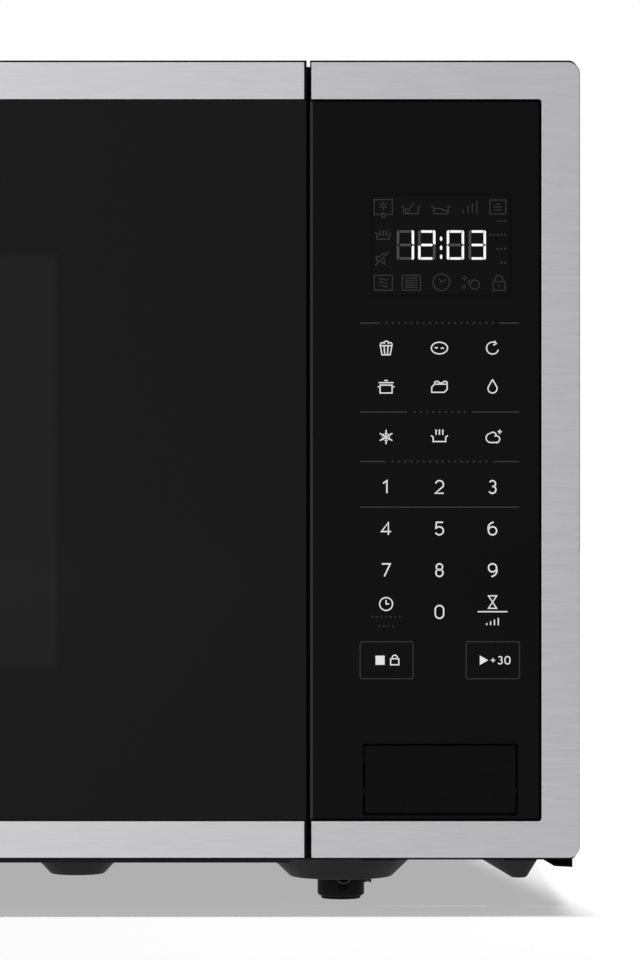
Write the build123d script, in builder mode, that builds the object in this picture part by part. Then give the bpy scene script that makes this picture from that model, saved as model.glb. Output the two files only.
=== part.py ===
from build123d import *
import os
from math import cos, pi, radians, sin, tan

# Countertop microwave oven: side-hinged door, glass turntable, push-button door release.
# Millimetres. X runs right, Y runs from the front to the rear, Z runs up.
# The origin lies on the surface under the feet, below the middle of the oven.

os.makedirs("parts", exist_ok=True)

# Overall size, and the front's place above the surface
overall_width = 611.0
overall_depth = 497.0
front_height = 332.43
foot_height = 9.7
boss_drop = 9.9
base_sheet = 1.0
front_rise = 2.72

# Fits: between pieces that rest on each other, between pieces that pass, and round a turning pin
touch = 0.05
pass_gap = 0.4
running = 0.05

# Steel surround and glass of the front
panel_width = 112.36
door_gap = 1.4
gap_step = 1.7
gap_step_start = 0.25
gap_fin_start = 21.5
gap_fin = 1.5
gap_fin_reach = 2.5
bar_width = 15.92
top_bar_width = 16.12
side_bar_width = 16.0
trim_sheet = 0.8
trim_return = 12.0
trim_setback = 0.95
corner_radius = 4.8
rim = 0.6
rim_setback = 0.2
edge_break = 0.25
steel_edge = 0.2
steel_fold = 0.5
opening_corner = 1.3
glass_recess = 0.6
glass_corner = 1.2
glass_bevel = 1.15
door_glass_thickness = 3.2
control_glass_thickness = 2.6
film_thickness = 0.4

# Door
door_depth = 36.0
door_wall = 3.0
web = 2.6
window_side_margin = 104.35
window_end_margin = 64.65
window_lap = 9.0
door_edge_radius = 6.0
seal_gap = 1.5
inner_sheet = 0.8
choke_flange = 12.0
choke_cover_plate = 2.0
choke_cover_gap = 0.9
inner_window_thickness = 1.2
mesh_thickness = 0.6
mesh_gap = 3.2
mesh_bar = 1.4

# Hinges
hinge_inset = 9.0
hinge_from_back = 14.0
hinge_from_edge = 20.0
hinge_plate = 2.0
hinge_width = 11.0
hinge_pin_radius = 3.0
hinge_pin_length = 14.0
hinge_slot_gap = 1.8
hinge_boss = 17.0
hinge_room = 4.0
hinge_leg_height = 30.0
hinge_leg_width = 25.0

# Cabinet
cabinet_side_step = 0.9
cabinet_top_step = 1.75
cabinet_sheet = 0.8
cabinet_corner = 8.0
cabinet_start = 1.0
cabinet_flange = 10.0
lip_width = 7.8
lip_drop = 6.62
lip_turn_width = 4.5
lip_turn_rise = 3.1
lip_fall = 0.45
bulge_depth = 25.0
bulge_margin = 10.0
bulge_flare = 11.0
vent_slot_length = 20.0
vent_slot_width = 3.2
vent_pitch = 7.0
vent_inset = 110.0

# Feet and the bosses of the base
foot_radius = 10.11
foot_base_radius = 8.55
foot_base_height = 1.2
foot_stem_radius = 4.0
foot_inset_x = 99.15
front_foot_depth = 77.5
rear_foot_inset = 62.0
foot_shoulder = 1.0
foot_tab_reach = 2.9
foot_tab_height = 2.8
foot_tab_width = 4.0
foot_eye_radius = 2.5
foot_eye_rim = 0.8
foot_eye_rise = 0.25
foot_eye_shift = 1.2
foot_eye_proud = 0.4
foot_eye_bore = 4.0
boss_mouth_radius = 32.3
boss_flat_radius = 22.0
stiffener_mouth_radius = 20.0
stiffener_flat_radius = 11.5
cup_bend = 1.5
cup_wall_angle = 45.0
tip_bend = 1.8
stiffener_drop = 8.94
stiffener_step = 114.2
corner_boss_size = 27.6
corner_boss_length = 36.0
corner_boss_round = 10.0
corner_boss_depth = 71.0
base_setback = 3.5
base_lip_drop = 1.3
corner_boss_tip = 6.2
corner_tip_length = 11.0
corner_tip_round = 2.75
corner_boss_lean = 5.15

# Oven cavity and turntable
cavity_side_cover = 37.74
cavity_drop = 31.5
cavity_rear_gap = 12.05
cavity_inset = 34.5
cavity_rise = 36.9
sheet = 0.8
tray_gap = 12.5
tray_slope = 32.0
tray_thickness = 5.0
tray_rim_height = 12.0
roller_radius = 8.5
roller_width = 8.0
roller_path = 102.0
axle_radius = 2.0
ring_thickness = 5.0
ring_width = 8.0
spider_hub_radius = 28.0
spider_hub_wall = 5.0
coupler_radius = 14.0
coupler_lobe = 19.0
coupler_lobe_width = 9.0
coupler_height = 14.5
coupler_flange = 4.0
drive_shaft_radius = 3.5
turntable_motor_radius = 25.0
turntable_motor_height = 17.0
motor_boss_radius = 6.0

# Door release
button_width = 64.48
button_height = 29.84
button_left = 21.98
button_bottom = 18.33
button_gap = 0.8
button_radius = 1.0
button_face = 2.4
button_wall = 1.6
button_cup = 14.0
button_travel = 6.0
button_guide = 12.0
post_radius = 3.0
nose_radius = 1.2
nose_length = 4.0
lever_shaft_radius = 3.0
lever_arm_width = 4.0
lever_finger_radius = 1.5
lever_finger_reach = 12.0
lever_finger_rise = 7.0
lever_drop = 16.6
lever_depth = 7.5
lever_ear = 5.0
hook_lift = 3.8
hook_plate = 3.0
hook_inset = 21.4
hook_reach = 26.0
hook_arm = 7.0
hook_barb = 3.5
hook_barb_length = 12.0
hook_lead = 5.0
hook_bar_width = 12.0
upper_hook_drop = 67.5
catch_thickness = 6.5
hook_pin_radius = 2.0
spring_wire = 0.5
spring_pitch = 2.2

# Works in the compartment
latch_plate = 3.0
switch_length = 28.0
switch_depth = 16.0
switch_width = 10.0
display_width = 57.5
display_height = 42.0
display_left = 25.86
display_below_top = 60.62
display_depth = 8.0
board_thickness = 1.6
board_depth = 14.0
waveguide_thickness = 38.0
waveguide_height = 90.0
waveguide_length = 190.0
waveguide_depth = 140.0
waveguide_rise = 120.0
lamp_inset = 80.0
lamp_drop = 36.0
magnetron_length = 90.0
magnetron_height = 80.0
magnetron_width = 74.0
antenna_radius = 7.5
antenna_length = 24.0
anode_radius = 19.0
fin_count = 7
fin_pitch = 5.0
fin_thickness = 0.6
magnet_radius = 27.0
magnet_thickness = 12.0
filter_width = 24.0
fan_radius = 50.0
fan_tip_gap = 2.5
fan_blades = 5
fan_blade_width = 13.0
fan_hub_radius = 14.0
shroud_margin = 3.5
shroud_depth = 22.0
fan_motor_size = 60.0
fan_motor_thickness = 18.0
fan_shaft_radius = 2.5
core_width = 100.0
core_depth = 66.0
core_height = 84.0
core_window = 16.0
core_leg = 32.0
winding_overhang = 15.0
capacitor_width = 54.0
capacitor_thickness = 34.0
capacitor_length = 96.0
screw_radius = 2.0
screw_head_radius = 3.6
screw_head_height = 0.9
screw_length = 10.0


def block(x, y, z, mode=Mode.ADD):
    """Add or cut the box between a low and a high limit on each axis."""
    with Locations((sum(x) / 2, sum(y) / 2, sum(z) / 2)):
        Box(x[1] - x[0], y[1] - y[0], z[1] - z[0], mode=mode)


def rod(start, direction, radius, length, mode=Mode.ADD):
    """Add or cut a round bar that runs from a point in a direction."""
    with Locations(Plane(origin=start, z_dir=direction)):
        Cylinder(radius, length, align=(Align.CENTER, Align.CENTER, Align.MIN), mode=mode)


def area(x, y, mode=Mode.ADD):
    """Fill or cut the rectangle between limits in a sketch."""
    with Locations((sum(x) / 2, sum(y) / 2)):
        Rectangle(x[1] - x[0], y[1] - y[0], mode=mode)


def span(a, b):
    """Two limits in rising order."""
    return (min(a, b), max(a, b))


def about(middle, width):
    """Limits of a width about its middle."""
    return (middle - width / 2, middle + width / 2)


def grow(limits, amount):
    """Limits moved out by an amount at both ends."""
    return (limits[0] - amount, limits[1] + amount)


RIGHT = (1, 0, 0)
LEFT = (-1, 0, 0)
REAR = (0, 1, 0)
FORWARD = (0, -1, 0)
UP = (0, 0, 1)
DOWN = (0, 0, -1)

# Places that follow from the sizes
front = -overall_depth / 2
half_width = overall_width / 2
base_bottom = foot_height + boss_drop
base_top = base_bottom + base_sheet
front_bottom = base_top + front_rise
front_top = front_bottom + front_height
door_left = -half_width
door_right = half_width - panel_width - door_gap
panel_left = half_width - panel_width
panel_right = half_width
front_z = (front_bottom, front_top)
glass_z = (front_bottom + bar_width, front_top - top_bar_width)
steel_z = (front_bottom + rim, front_top - rim)
plate_depth = door_depth + seal_gap


def y_at(depth):
    """Y of a depth behind the front."""
    return front + depth


def deep(low, high):
    """Y limits of two depths behind the front."""
    return (front + low, front + high)


def facing(depth):
    """Sketch plane that faces the front at a depth, with X right and Z up."""
    return Plane.XZ.offset(-(front + depth))


def steel_surround(open_x, closed_x):
    """C-shaped steel front with a bar above, below and at its closed side, and a return there."""
    side = 1 if closed_x > open_x else -1
    last = -1 if side > 0 else 0
    with BuildSketch(facing(0)) as face:
        area(span(open_x, closed_x), steel_z)
        fillet(face.vertices().group_by(Axis.X)[last], corner_radius)
    with BuildSketch(facing(0)) as opening:
        area(span(open_x - side, closed_x - side * side_bar_width), glass_z)
        fillet(opening.vertices().group_by(Axis.X)[last], opening_corner)
    extrude(face.sketch, amount=-trim_sheet)
    extrude(opening.sketch, amount=-trim_sheet, mode=Mode.SUBTRACT)
    block(
        span(closed_x, closed_x - side * trim_sheet),
        deep(0, trim_return),
        grow(steel_z, -corner_radius),
    )


def soften(surround, closed_x):
    """Round the outer front edge of a steel surround where it folds back, and break the others."""

    def folded(edge):
        spot = edge.center()
        return (
            abs(spot.X - closed_x) < corner_radius
            or spot.Z > steel_z[1] - steel_fold - touch
            or spot.Z < steel_z[0] + steel_fold + touch
        )

    fillet(surround.faces().sort_by(Axis.Y)[0].edges().filter_by(folded), steel_fold)
    cut_edges = surround.faces().sort_by(Axis.Y)[0].edges().filter_by(lambda edge: not folded(edge))
    fillet(cut_edges, steel_edge)


def screw(point, direction):
    """Pan head at a point with its shank running on in a direction."""
    back = tuple(-part for part in direction)
    rod(point, back, screw_head_radius, screw_head_height)
    rod(point, direction, screw_radius, screw_length)


def spring_point(centre, radius, turn, rise):
    """Point on a coil that stands along Z, after a number of turns."""
    angle = 2 * pi * turn
    return (
        centre[0] + radius * cos(angle),
        centre[1] + radius * sin(angle),
        centre[2] + rise * turn,
    )


def coil_path(centre, radius, turns, rise):
    """Arcs of a quarter turn each along a coil."""
    for quarter in range(4 * turns):
        start = quarter / 4
        ThreePointArc(
            spring_point(centre, radius, start, rise),
            spring_point(centre, radius, start + 1 / 8, rise),
            spring_point(centre, radius, start + 1 / 4, rise),
        )


# Steel surround of the door
with BuildPart() as door_trim:
    steel_surround(door_right - trim_setback, door_left)
    soften(door_trim, door_left)
door_trim.part.label = "door_trim"
export_step(door_trim.part, "parts/door_trim.step")

# Outer glass of the door
door_glass_x = (door_left + side_bar_width + touch, door_right)
door_glass_back = glass_recess + door_glass_thickness
with BuildPart() as door_glass:
    block(door_glass_x, deep(glass_recess, door_glass_back), grow(glass_z, -touch))
    fillet(door_glass.edges().filter_by(Axis.Y), glass_corner)
    chamfer(door_glass.faces().sort_by(Axis.Y)[0].edges(), edge_break)
door_glass.part.label = "door_glass"
export_step(door_glass.part, "parts/door_glass.step")

# Moulded frame of the door, with the hinge bosses and the posts of the hook plate
window_x = grow(door_glass_x, -window_side_margin)
window_z = grow(glass_z, -window_end_margin)
door_shell_left = door_left + trim_sheet + touch
button_x = (panel_left + button_left, panel_left + button_left + button_width)
button_z = (front_bottom + button_bottom, front_bottom + button_bottom + button_height)
post_x = button_x[0] + 16.0
post_z = button_z[1] - button_gap - button_wall - post_radius - 0.3
lever_axis_z = post_z + lever_drop
finger_z = lever_axis_z + lever_finger_rise
lower_hook_z = finger_z + lever_finger_radius + pass_gap + hook_barb + hook_arm / 2
door_web_front = door_glass_back + touch
door_web_back = door_web_front + web
door_side = door_right - gap_step
hinge_x = door_left + hinge_inset
hinge_depth = door_depth - hinge_from_back
hinge_levels = {
    "lower": (front_bottom + hinge_from_edge, 1),
    "upper": (front_top - hinge_from_edge, -1),
}
hinge_reach = hinge_width / 2
hook_x = (door_right - hook_inset, door_right - hook_inset + hook_plate)
hook_levels = (lower_hook_z, front_top - upper_hook_drop)
hook_bar_depth = (door_web_back + 4.0, door_web_back + 4.0 + hook_bar_width)
hook_pin_levels = (hook_levels[0] + 30.0, hook_levels[1] - 30.0)
hook_pin_depth = sum(hook_bar_depth) / 2
hook_post_x = hook_x[1] + pass_gap
spring_anchor_z = hook_levels[0] + 60.0
spring_ear_z = spring_anchor_z + 44.0
spring_x = hook_post_x + 6.0
with BuildPart() as door_frame:
    with BuildSketch(facing(rim_setback)) as outline:
        area((door_shell_left, door_right), front_z)
        fillet(outline.vertices().group_by(Axis.X)[0], corner_radius - trim_sheet - touch)
    extrude(amount=-(door_depth - rim_setback))
    fillet(
        door_frame.edges().filter_by(Axis.Z).group_by(Axis.Y)[-1].sort_by(Axis.X)[0],
        door_edge_radius,
    )
    block(
        (door_left, door_right - trim_setback + touch),
        deep(0, trim_sheet + touch),
        grow(steel_z, touch),
        Mode.SUBTRACT,
    )
    block(
        (door_left + side_bar_width, door_right + 1),
        deep(0, door_web_front),
        glass_z,
        Mode.SUBTRACT,
    )
    block(
        (door_shell_left + door_wall, door_side - door_wall),
        deep(door_web_back, door_depth + 1),
        grow(front_z, -door_wall),
        Mode.SUBTRACT,
    )
    block(
        grow(window_x, window_lap),
        deep(0, door_depth),
        grow(window_z, window_lap),
        Mode.SUBTRACT,
    )
    block(
        (door_side, door_right + 1),
        deep(door_web_back + gap_step_start, door_depth + 1),
        grow(front_z, 1),
        Mode.SUBTRACT,
    )
    for level, toward_middle in hinge_levels.values():
        edge_z = level - toward_middle * (hinge_from_edge - door_wall)
        pin_end_z = level + toward_middle * (hinge_pin_length + 6)
        block(
            (door_shell_left + door_wall, door_shell_left + hinge_boss),
            deep(door_web_back, door_depth - choke_cover_plate - choke_cover_gap),
            span(edge_z, pin_end_z),
        )
        rod(
            (hinge_x, y_at(hinge_depth), level),
            (0, 0, toward_middle),
            hinge_pin_radius + running,
            hinge_pin_length + 2,
            Mode.SUBTRACT,
        )
        block(
            (door_left - 1, hinge_x + hinge_reach + hinge_room),
            deep(hinge_depth - hinge_reach - hinge_room, door_depth + 1),
            about(level, hinge_plate + 2 * hinge_slot_gap),
            Mode.SUBTRACT,
        )
    for level in hook_pin_levels:
        rod(
            (door_side - door_wall, y_at(hook_pin_depth), level),
            LEFT,
            hook_pin_radius + 2.5,
            door_side - door_wall - hook_post_x,
        )
        rod(
            (hook_post_x, y_at(hook_pin_depth), level),
            RIGHT,
            hook_pin_radius + running,
            door_side - door_wall - hook_post_x - 2,
            Mode.SUBTRACT,
        )
    rod(
        (door_side - door_wall, y_at(hook_pin_depth), spring_anchor_z),
        LEFT,
        hook_pin_radius + 1,
        door_side - door_wall - hook_post_x - 1,
    )
door_frame.part.label = "door_frame"
export_step(door_frame.part, "parts/door_frame.step")

# Pressed inner panel with the choke flange and the slots of the hooks
cover_back = door_depth - 0.4
cover_front = cover_back - choke_cover_plate
inner_back = cover_front - inner_window_thickness - 2 * touch
inner_front = inner_back - inner_sheet
inner_x = (door_shell_left + hinge_boss + pass_gap, door_side - door_wall - pass_gap)
inner_z = grow(front_z, -door_wall - pass_gap)
hook_slot_x = grow(hook_x, 3.0)


def hook_slot_z(level):
    """Height limits of a slot that a hook passes through and rises in."""
    return (
        level - hook_arm / 2 - hook_barb - 1.5,
        level + hook_arm / 2 + hook_lift + 1.5,
    )


with BuildPart() as door_inner_panel:
    block(inner_x, deep(inner_front, inner_back), inner_z)
    block(inner_x, deep(inner_front - choke_flange, inner_front), inner_z)
    block(
        grow(inner_x, -inner_sheet),
        deep(inner_front - choke_flange - 1, inner_front),
        grow(inner_z, -inner_sheet),
        Mode.SUBTRACT,
    )
    block(window_x, deep(0, door_depth), window_z, Mode.SUBTRACT)
    for level in hook_levels:
        block(hook_slot_x, deep(inner_front - 1, inner_back + 1), hook_slot_z(level), Mode.SUBTRACT)
    block(
        (inner_x[1] - 2 * inner_sheet, inner_x[1] + 1),
        deep(inner_front - choke_flange - 1, inner_front),
        (hook_pin_levels[0] - 10, hook_pin_levels[1] + 10),
        Mode.SUBTRACT,
    )
door_inner_panel.part.label = "door_inner_panel"
export_step(door_inner_panel.part, "parts/door_inner_panel.step")

# Steel screen behind the window, as one holed sheet
mesh_x = grow(window_x, 6.0)
mesh_z = grow(window_z, 6.0)
mesh_back = inner_front - touch
with BuildPart() as window_mesh:
    block(mesh_x, deep(mesh_back - mesh_thickness, mesh_back), mesh_z)
window_mesh.part.label = "window_mesh"
export_step(window_mesh.part, "parts/window_mesh.step")

# Clear sheet on the oven side of the window
with BuildPart() as inner_window:
    block(
        grow(window_x, 8.0),
        deep(inner_back + touch, inner_back + touch + inner_window_thickness),
        grow(window_z, 8.0),
    )
inner_window.part.label = "inner_window"
export_step(inner_window.part, "parts/inner_window.step")

# Moulded ring that covers the choke
cover_x = (door_shell_left + door_wall + pass_gap, door_side - door_wall - pass_gap)
with BuildPart() as choke_cover:
    with BuildSketch(facing(cover_front)):
        area(cover_x, grow(front_z, -door_wall - pass_gap))
        area(grow(window_x, -1.0), grow(window_z, -1.0), Mode.SUBTRACT)
        for level in hook_levels:
            area(hook_slot_x, hook_slot_z(level), Mode.SUBTRACT)
    extrude(amount=-choke_cover_plate)
    for level, toward_middle in hinge_levels.values():
        block(
            (cover_x[0] - 1, hinge_x + hinge_reach + hinge_room),
            deep(cover_front - 1, cover_back + 1),
            about(level, hinge_plate + 2 * hinge_slot_gap),
            Mode.SUBTRACT,
        )
    chamfer(choke_cover.faces().sort_by(Axis.Y)[-1].inner_wires()[0].edges(), 0.9)
choke_cover.part.label = "choke_cover"
export_step(choke_cover.part, "parts/choke_cover.step")

# Plate with the two latch hooks, guided by two pins in upright slots
hook_tip_depth = plate_depth + hook_reach
with BuildPart() as latch_hook:
    with BuildSketch(Plane.YZ.offset(hook_x[0])):
        area(deep(*hook_bar_depth), grow(hook_levels, 12.0))
        for level in hook_levels:
            arm_bottom = level - hook_arm / 2
            area(deep(hook_bar_depth[0], hook_tip_depth), about(level, hook_arm))
            with BuildLine():
                Polyline(
                    (y_at(hook_tip_depth - hook_barb_length), arm_bottom),
                    (y_at(hook_tip_depth - hook_barb_length), arm_bottom - hook_barb),
                    (y_at(hook_tip_depth - hook_lead), arm_bottom - hook_barb),
                    (y_at(hook_tip_depth), arm_bottom),
                    close=True,
                )
            make_face()
        for level in hook_pin_levels:
            slot_bottom = level - hook_lift - hook_pin_radius - pass_gap
            with Locations((y_at(hook_pin_depth), (level + hook_pin_radius + pass_gap + slot_bottom) / 2)):
                SlotOverall(
                    hook_lift + 2 * hook_pin_radius + 2 * pass_gap,
                    2 * hook_pin_radius + 2 * running + 0.2,
                    rotation=90,
                    mode=Mode.SUBTRACT,
                )
    extrude(amount=hook_plate)
    block(
        (hook_x[1], spring_x + 3),
        deep(hook_pin_depth - 3, hook_pin_depth + 3),
        (spring_ear_z, spring_ear_z + 2.5),
    )
latch_hook.part.label = "latch_hook"
export_step(latch_hook.part, "parts/latch_hook.step")

# Shoulder pins that the hook plate slides on
with BuildPart() as hook_pins:
    for level in hook_pin_levels:
        rod(
            (hook_x[0] - pass_gap, y_at(hook_pin_depth), level),
            RIGHT,
            hook_pin_radius,
            hook_post_x - hook_x[0] + 8,
        )
        rod(
            (hook_x[0] - pass_gap, y_at(hook_pin_depth), level),
            LEFT,
            hook_pin_radius + 1.8,
            1.4,
        )
hook_pins.part.label = "hook_pins"
export_step(hook_pins.part, "parts/hook_pins.step")

# Spring that pulls the hook plate down
hook_spring_radius = 3.0
hook_spring_bottom = spring_anchor_z + hook_pin_radius + 1 + spring_wire + pass_gap
hook_spring_length = spring_ear_z - hook_spring_bottom - spring_wire - pass_gap
hook_spring_turns = int(hook_spring_length / spring_pitch)
with BuildPart() as hook_spring:
    with BuildLine() as hook_spring_path:
        coil_path(
            (spring_x, y_at(hook_pin_depth), hook_spring_bottom),
            hook_spring_radius,
            hook_spring_turns,
            hook_spring_length / hook_spring_turns,
        )
    with BuildSketch(
        Plane(origin=hook_spring_path.line @ 0, z_dir=hook_spring_path.line % 0)
    ):
        Circle(spring_wire)
    sweep(path=hook_spring_path.line)
hook_spring.part.label = "hook_spring"
export_step(hook_spring.part, "parts/hook_spring.step")

# Steel surround of the control side
with BuildPart() as control_bezel:
    steel_surround(panel_left + rim, panel_right)
    soften(control_bezel, panel_right)
control_bezel.part.label = "control_bezel"
export_step(control_bezel.part, "parts/control_bezel.step")

# Glass of the control side, cut out round the door release
control_glass_x = (panel_left, panel_right - side_bar_width - touch)
control_glass_back = glass_recess + control_glass_thickness
with BuildPart() as control_glass:
    with BuildSketch(facing(glass_recess)) as pane:
        area(control_glass_x, grow(glass_z, -touch))
        fillet(pane.vertices(), glass_corner)
        with Locations((sum(button_x) / 2, sum(button_z) / 2)):
            RectangleRounded(button_width, button_height, button_radius, mode=Mode.SUBTRACT)
    extrude(amount=-control_glass_thickness)
    chamfer(
        control_glass.faces().sort_by(Axis.Y)[0].outer_wire().edges().sort_by(Axis.X)[0],
        glass_bevel,
    )
control_glass.part.label = "control_glass"
export_step(control_glass.part, "parts/control_glass.step")

# Touch sensor behind the control glass, below the display
display_x = (panel_left + display_left, panel_left + display_left + display_width)
display_z = about(glass_z[1] - display_below_top, display_height)
film_back = control_glass_back + touch + film_thickness
with BuildPart() as touch_film:
    block(
        (control_glass_x[0] + 12, control_glass_x[1] - 8),
        deep(control_glass_back + touch, film_back),
        (button_z[1] + 14, display_z[0] - 3),
    )
touch_film.part.label = "touch_film"
export_step(touch_film.part, "parts/touch_film.step")

# Moulded body of the control side
carrier_right = panel_right - trim_sheet - touch
carrier_back = door_depth + 1.0
carrier_web_front = film_back + touch
carrier_web_back = carrier_web_front + web
tab_top_z = front_top - cabinet_top_step - cabinet_sheet - touch
board_x = (control_glass_x[0] + 7, control_glass_x[1] - 5)
board_z = (button_z[1] + 22, glass_z[1] - 10)
board_front = carrier_web_front + board_depth
board_posts = [
    (x, z) for x in grow(board_x, -5) for z in grow(board_z, -5)
]
spring_seat = button_cup + button_travel + 8
spring_seat_thickness = 2.0
spring_axis_x = button_x[0] + 40.0
button_mid_z = sum(button_z) / 2
cabinet_front = plate_depth + cabinet_start
with BuildPart() as panel_carrier:
    with BuildSketch(facing(rim_setback)) as outline:
        area((panel_left, carrier_right), front_z)
        fillet(outline.vertices().group_by(Axis.X)[-1], corner_radius - trim_sheet - touch)
    extrude(amount=-(carrier_back - rim_setback))
    block(
        (panel_left + rim - touch, panel_right),
        deep(0, trim_sheet + touch),
        grow(steel_z, touch),
        Mode.SUBTRACT,
    )
    block(
        (panel_left - 1, panel_right - side_bar_width),
        deep(0, carrier_web_front),
        glass_z,
        Mode.SUBTRACT,
    )
    block(
        (panel_left + door_wall, carrier_right - door_wall),
        deep(carrier_web_back, carrier_back + 1),
        grow(front_z, -door_wall),
        Mode.SUBTRACT,
    )
    block(
        (panel_left - gap_fin_reach, panel_left + door_wall),
        deep(door_web_back + gap_fin_start, door_web_back + gap_fin_start + gap_fin),
        front_z,
    )
    block(
        grow(display_x, pass_gap),
        deep(0, carrier_back),
        grow(display_z, pass_gap),
        Mode.SUBTRACT,
    )
    block(
        grow(button_x, button_wall),
        deep(carrier_web_back, carrier_web_back + button_guide),
        grow(button_z, button_wall),
    )
    block(
        (button_x[0] - button_wall, button_x[1] + button_wall),
        deep(carrier_web_back + button_guide, spring_seat + spring_seat_thickness),
        about(button_mid_z, 11.0),
    )
    block(button_x, deep(0, spring_seat), button_z, Mode.SUBTRACT)
    rod(
        (post_x, y_at(0), post_z),
        REAR,
        post_radius + pass_gap,
        carrier_back,
        Mode.SUBTRACT,
    )
    rod(
        (spring_axis_x, y_at(spring_seat), button_mid_z),
        FORWARD,
        1.8,
        5.0,
    )
    for x, z in board_posts:
        rod((x, y_at(carrier_web_back), z), REAR, 3.0, board_front - touch - carrier_web_back)
        rod((x, y_at(board_front), z), FORWARD, 1.3, 6.0, Mode.SUBTRACT)
    for x in (panel_left + 22, carrier_right - 30):
        block((x, x + 14), deep(carrier_back - 12, carrier_back + 14), (tab_top_z - 2.5, tab_top_z))
        block((x, x + 14), deep(carrier_back - 12, carrier_back), (front_top - door_wall - 1, tab_top_z))
        block((x, x + 14), deep(carrier_back - 12, carrier_back + 14), (base_top + touch, base_top + 2.5))
        block((x, x + 14), deep(carrier_back - 3, carrier_back), (base_top + touch, front_bottom + 1))
panel_carrier.part.label = "panel_carrier"
export_step(panel_carrier.part, "parts/panel_carrier.step")

# Clock display
with BuildPart() as display_module:
    block(display_x, deep(control_glass_back + 2 * touch, carrier_web_front + display_depth), display_z)
display_module.part.label = "display_module"
export_step(display_module.part, "parts/display_module.step")

# Control board on its four posts
with BuildPart() as control_board:
    block(board_x, deep(board_front, board_front + board_thickness), board_z)
    for x, z in board_posts:
        rod((x, y_at(board_front - 1), z), REAR, 1.6, board_thickness + 2, Mode.SUBTRACT)
control_board.part.label = "control_board"
export_step(control_board.part, "parts/control_board.step")

# Two relays on the rear of the board
board_back = board_front + board_thickness
board_mid_x = sum(board_x) / 2
with BuildPart() as power_relays:
    for shift in (16.0, 50.0):
        block(
            about(board_mid_x - 12, 26.0),
            deep(board_back + touch, board_back + 14.0),
            (board_z[0] + shift, board_z[0] + shift + 28.0),
        )
power_relays.part.label = "power_relays"
export_step(power_relays.part, "parts/power_relays.step")

# Door release key: a cup with a post that pushes the lever
key_x = grow(button_x, -button_gap)
key_z = grow(button_z, -button_gap)
lever_axis_depth = plate_depth + lever_depth
nose_depth = lever_axis_depth - lever_arm_width / 2 - pass_gap - 0.1
with BuildPart() as release_button:
    with BuildSketch(facing(glass_recess)):
        with Locations((sum(key_x) / 2, sum(key_z) / 2)):
            RectangleRounded(key_x[1] - key_x[0], key_z[1] - key_z[0], button_radius)
    extrude(amount=-(button_cup - glass_recess))
    chamfer(release_button.faces().sort_by(Axis.Y)[0].edges(), edge_break)
    block(
        grow(key_x, -button_wall),
        deep(glass_recess + button_face, button_cup + 1),
        grow(key_z, -button_wall),
        Mode.SUBTRACT,
    )
    rod(
        (post_x, y_at(glass_recess + button_face - 1), post_z),
        REAR,
        post_radius,
        nose_depth - nose_length - glass_recess - button_face + 1,
    )
    rod((post_x, y_at(nose_depth - nose_length), post_z), REAR, nose_radius, nose_length)
release_button.part.label = "release_button"
export_step(release_button.part, "parts/release_button.step")

# Spring that pushes the key back out
button_spring_radius = 4.0
button_spring_front = glass_recess + button_face + spring_wire + 0.2
button_spring_length = spring_seat - spring_wire - 0.2 - button_spring_front
button_spring_turns = int(button_spring_length / (1.4 * spring_pitch))
with BuildPart() as button_spring:
    with BuildLine(
        Plane(
            origin=(spring_axis_x, y_at(button_spring_front), button_mid_z),
            x_dir=RIGHT,
            z_dir=REAR,
        )
    ) as button_spring_path:
        coil_path(
            (0, 0, 0),
            button_spring_radius,
            button_spring_turns,
            button_spring_length / button_spring_turns,
        )
    with BuildSketch(
        Plane(origin=button_spring_path.line @ 0, z_dir=button_spring_path.line % 0)
    ):
        Circle(spring_wire)
    sweep(path=button_spring_path.line)
button_spring.part.label = "button_spring"
export_step(button_spring.part, "parts/button_spring.step")

# Front plate of the oven cavity
cabinet_half = half_width - cabinet_side_step
cabinet_top = front_top - cabinet_top_step
plate_back = plate_depth + sheet
plate_x = (-cabinet_half + cabinet_sheet + pass_gap, door_right - trim_setback)
plate_z = (base_top + touch, cabinet_top - cabinet_sheet - pass_gap)
plate_corner = cabinet_corner - cabinet_sheet - pass_gap
cavity_x = (-half_width + cavity_inset, door_right - cavity_side_cover)
cavity_z = (base_top + cavity_rise, cabinet_top - cavity_drop)
cavity_back_depth = overall_depth - cavity_rear_gap - 2 * sheet - touch
hinge_leg_x = (plate_x[0] + sheet + pass_gap, plate_x[0] + sheet + pass_gap + hinge_leg_width)
hinge_screw_points = []
for level, toward_middle in hinge_levels.values():
    for share in (9.0, 22.0):
        hinge_screw_points.append((sum(hinge_leg_x) / 2 + 3, level + toward_middle * share))
with BuildPart() as front_plate:
    with BuildSketch(facing(plate_depth)) as outline:
        area(plate_x, plate_z)
        fillet(outline.vertices().group_by(Axis.Y)[-1].sort_by(Axis.X)[0], plate_corner)
    extrude(amount=-(sheet + trim_return))
    with BuildSketch(facing(plate_back)) as inside:
        area((plate_x[0] + sheet, plate_x[1] + 1), grow(plate_z, -sheet))
        fillet(inside.vertices().group_by(Axis.Y)[-1].sort_by(Axis.X)[0], plate_corner - sheet)
    extrude(amount=-(trim_return + 1), mode=Mode.SUBTRACT)
    block(cavity_x, deep(plate_depth - 1, plate_back + 1), cavity_z, Mode.SUBTRACT)
    for level in hook_levels:
        block(hook_slot_x, deep(plate_depth - 1, plate_back + 1), hook_slot_z(level), Mode.SUBTRACT)
    for level, toward_middle in hinge_levels.values():
        block(
            about(hinge_x, hinge_width + 2 * pass_gap),
            deep(plate_depth - 1, plate_back + 1),
            about(level, hinge_plate + 2 * pass_gap),
            Mode.SUBTRACT,
        )
    for x, z in hinge_screw_points:
        rod((x, y_at(plate_depth - 1), z), REAR, screw_radius + 0.1, 3, Mode.SUBTRACT)
front_plate.part.label = "front_plate"
export_step(front_plate.part, "parts/front_plate.step")


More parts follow.
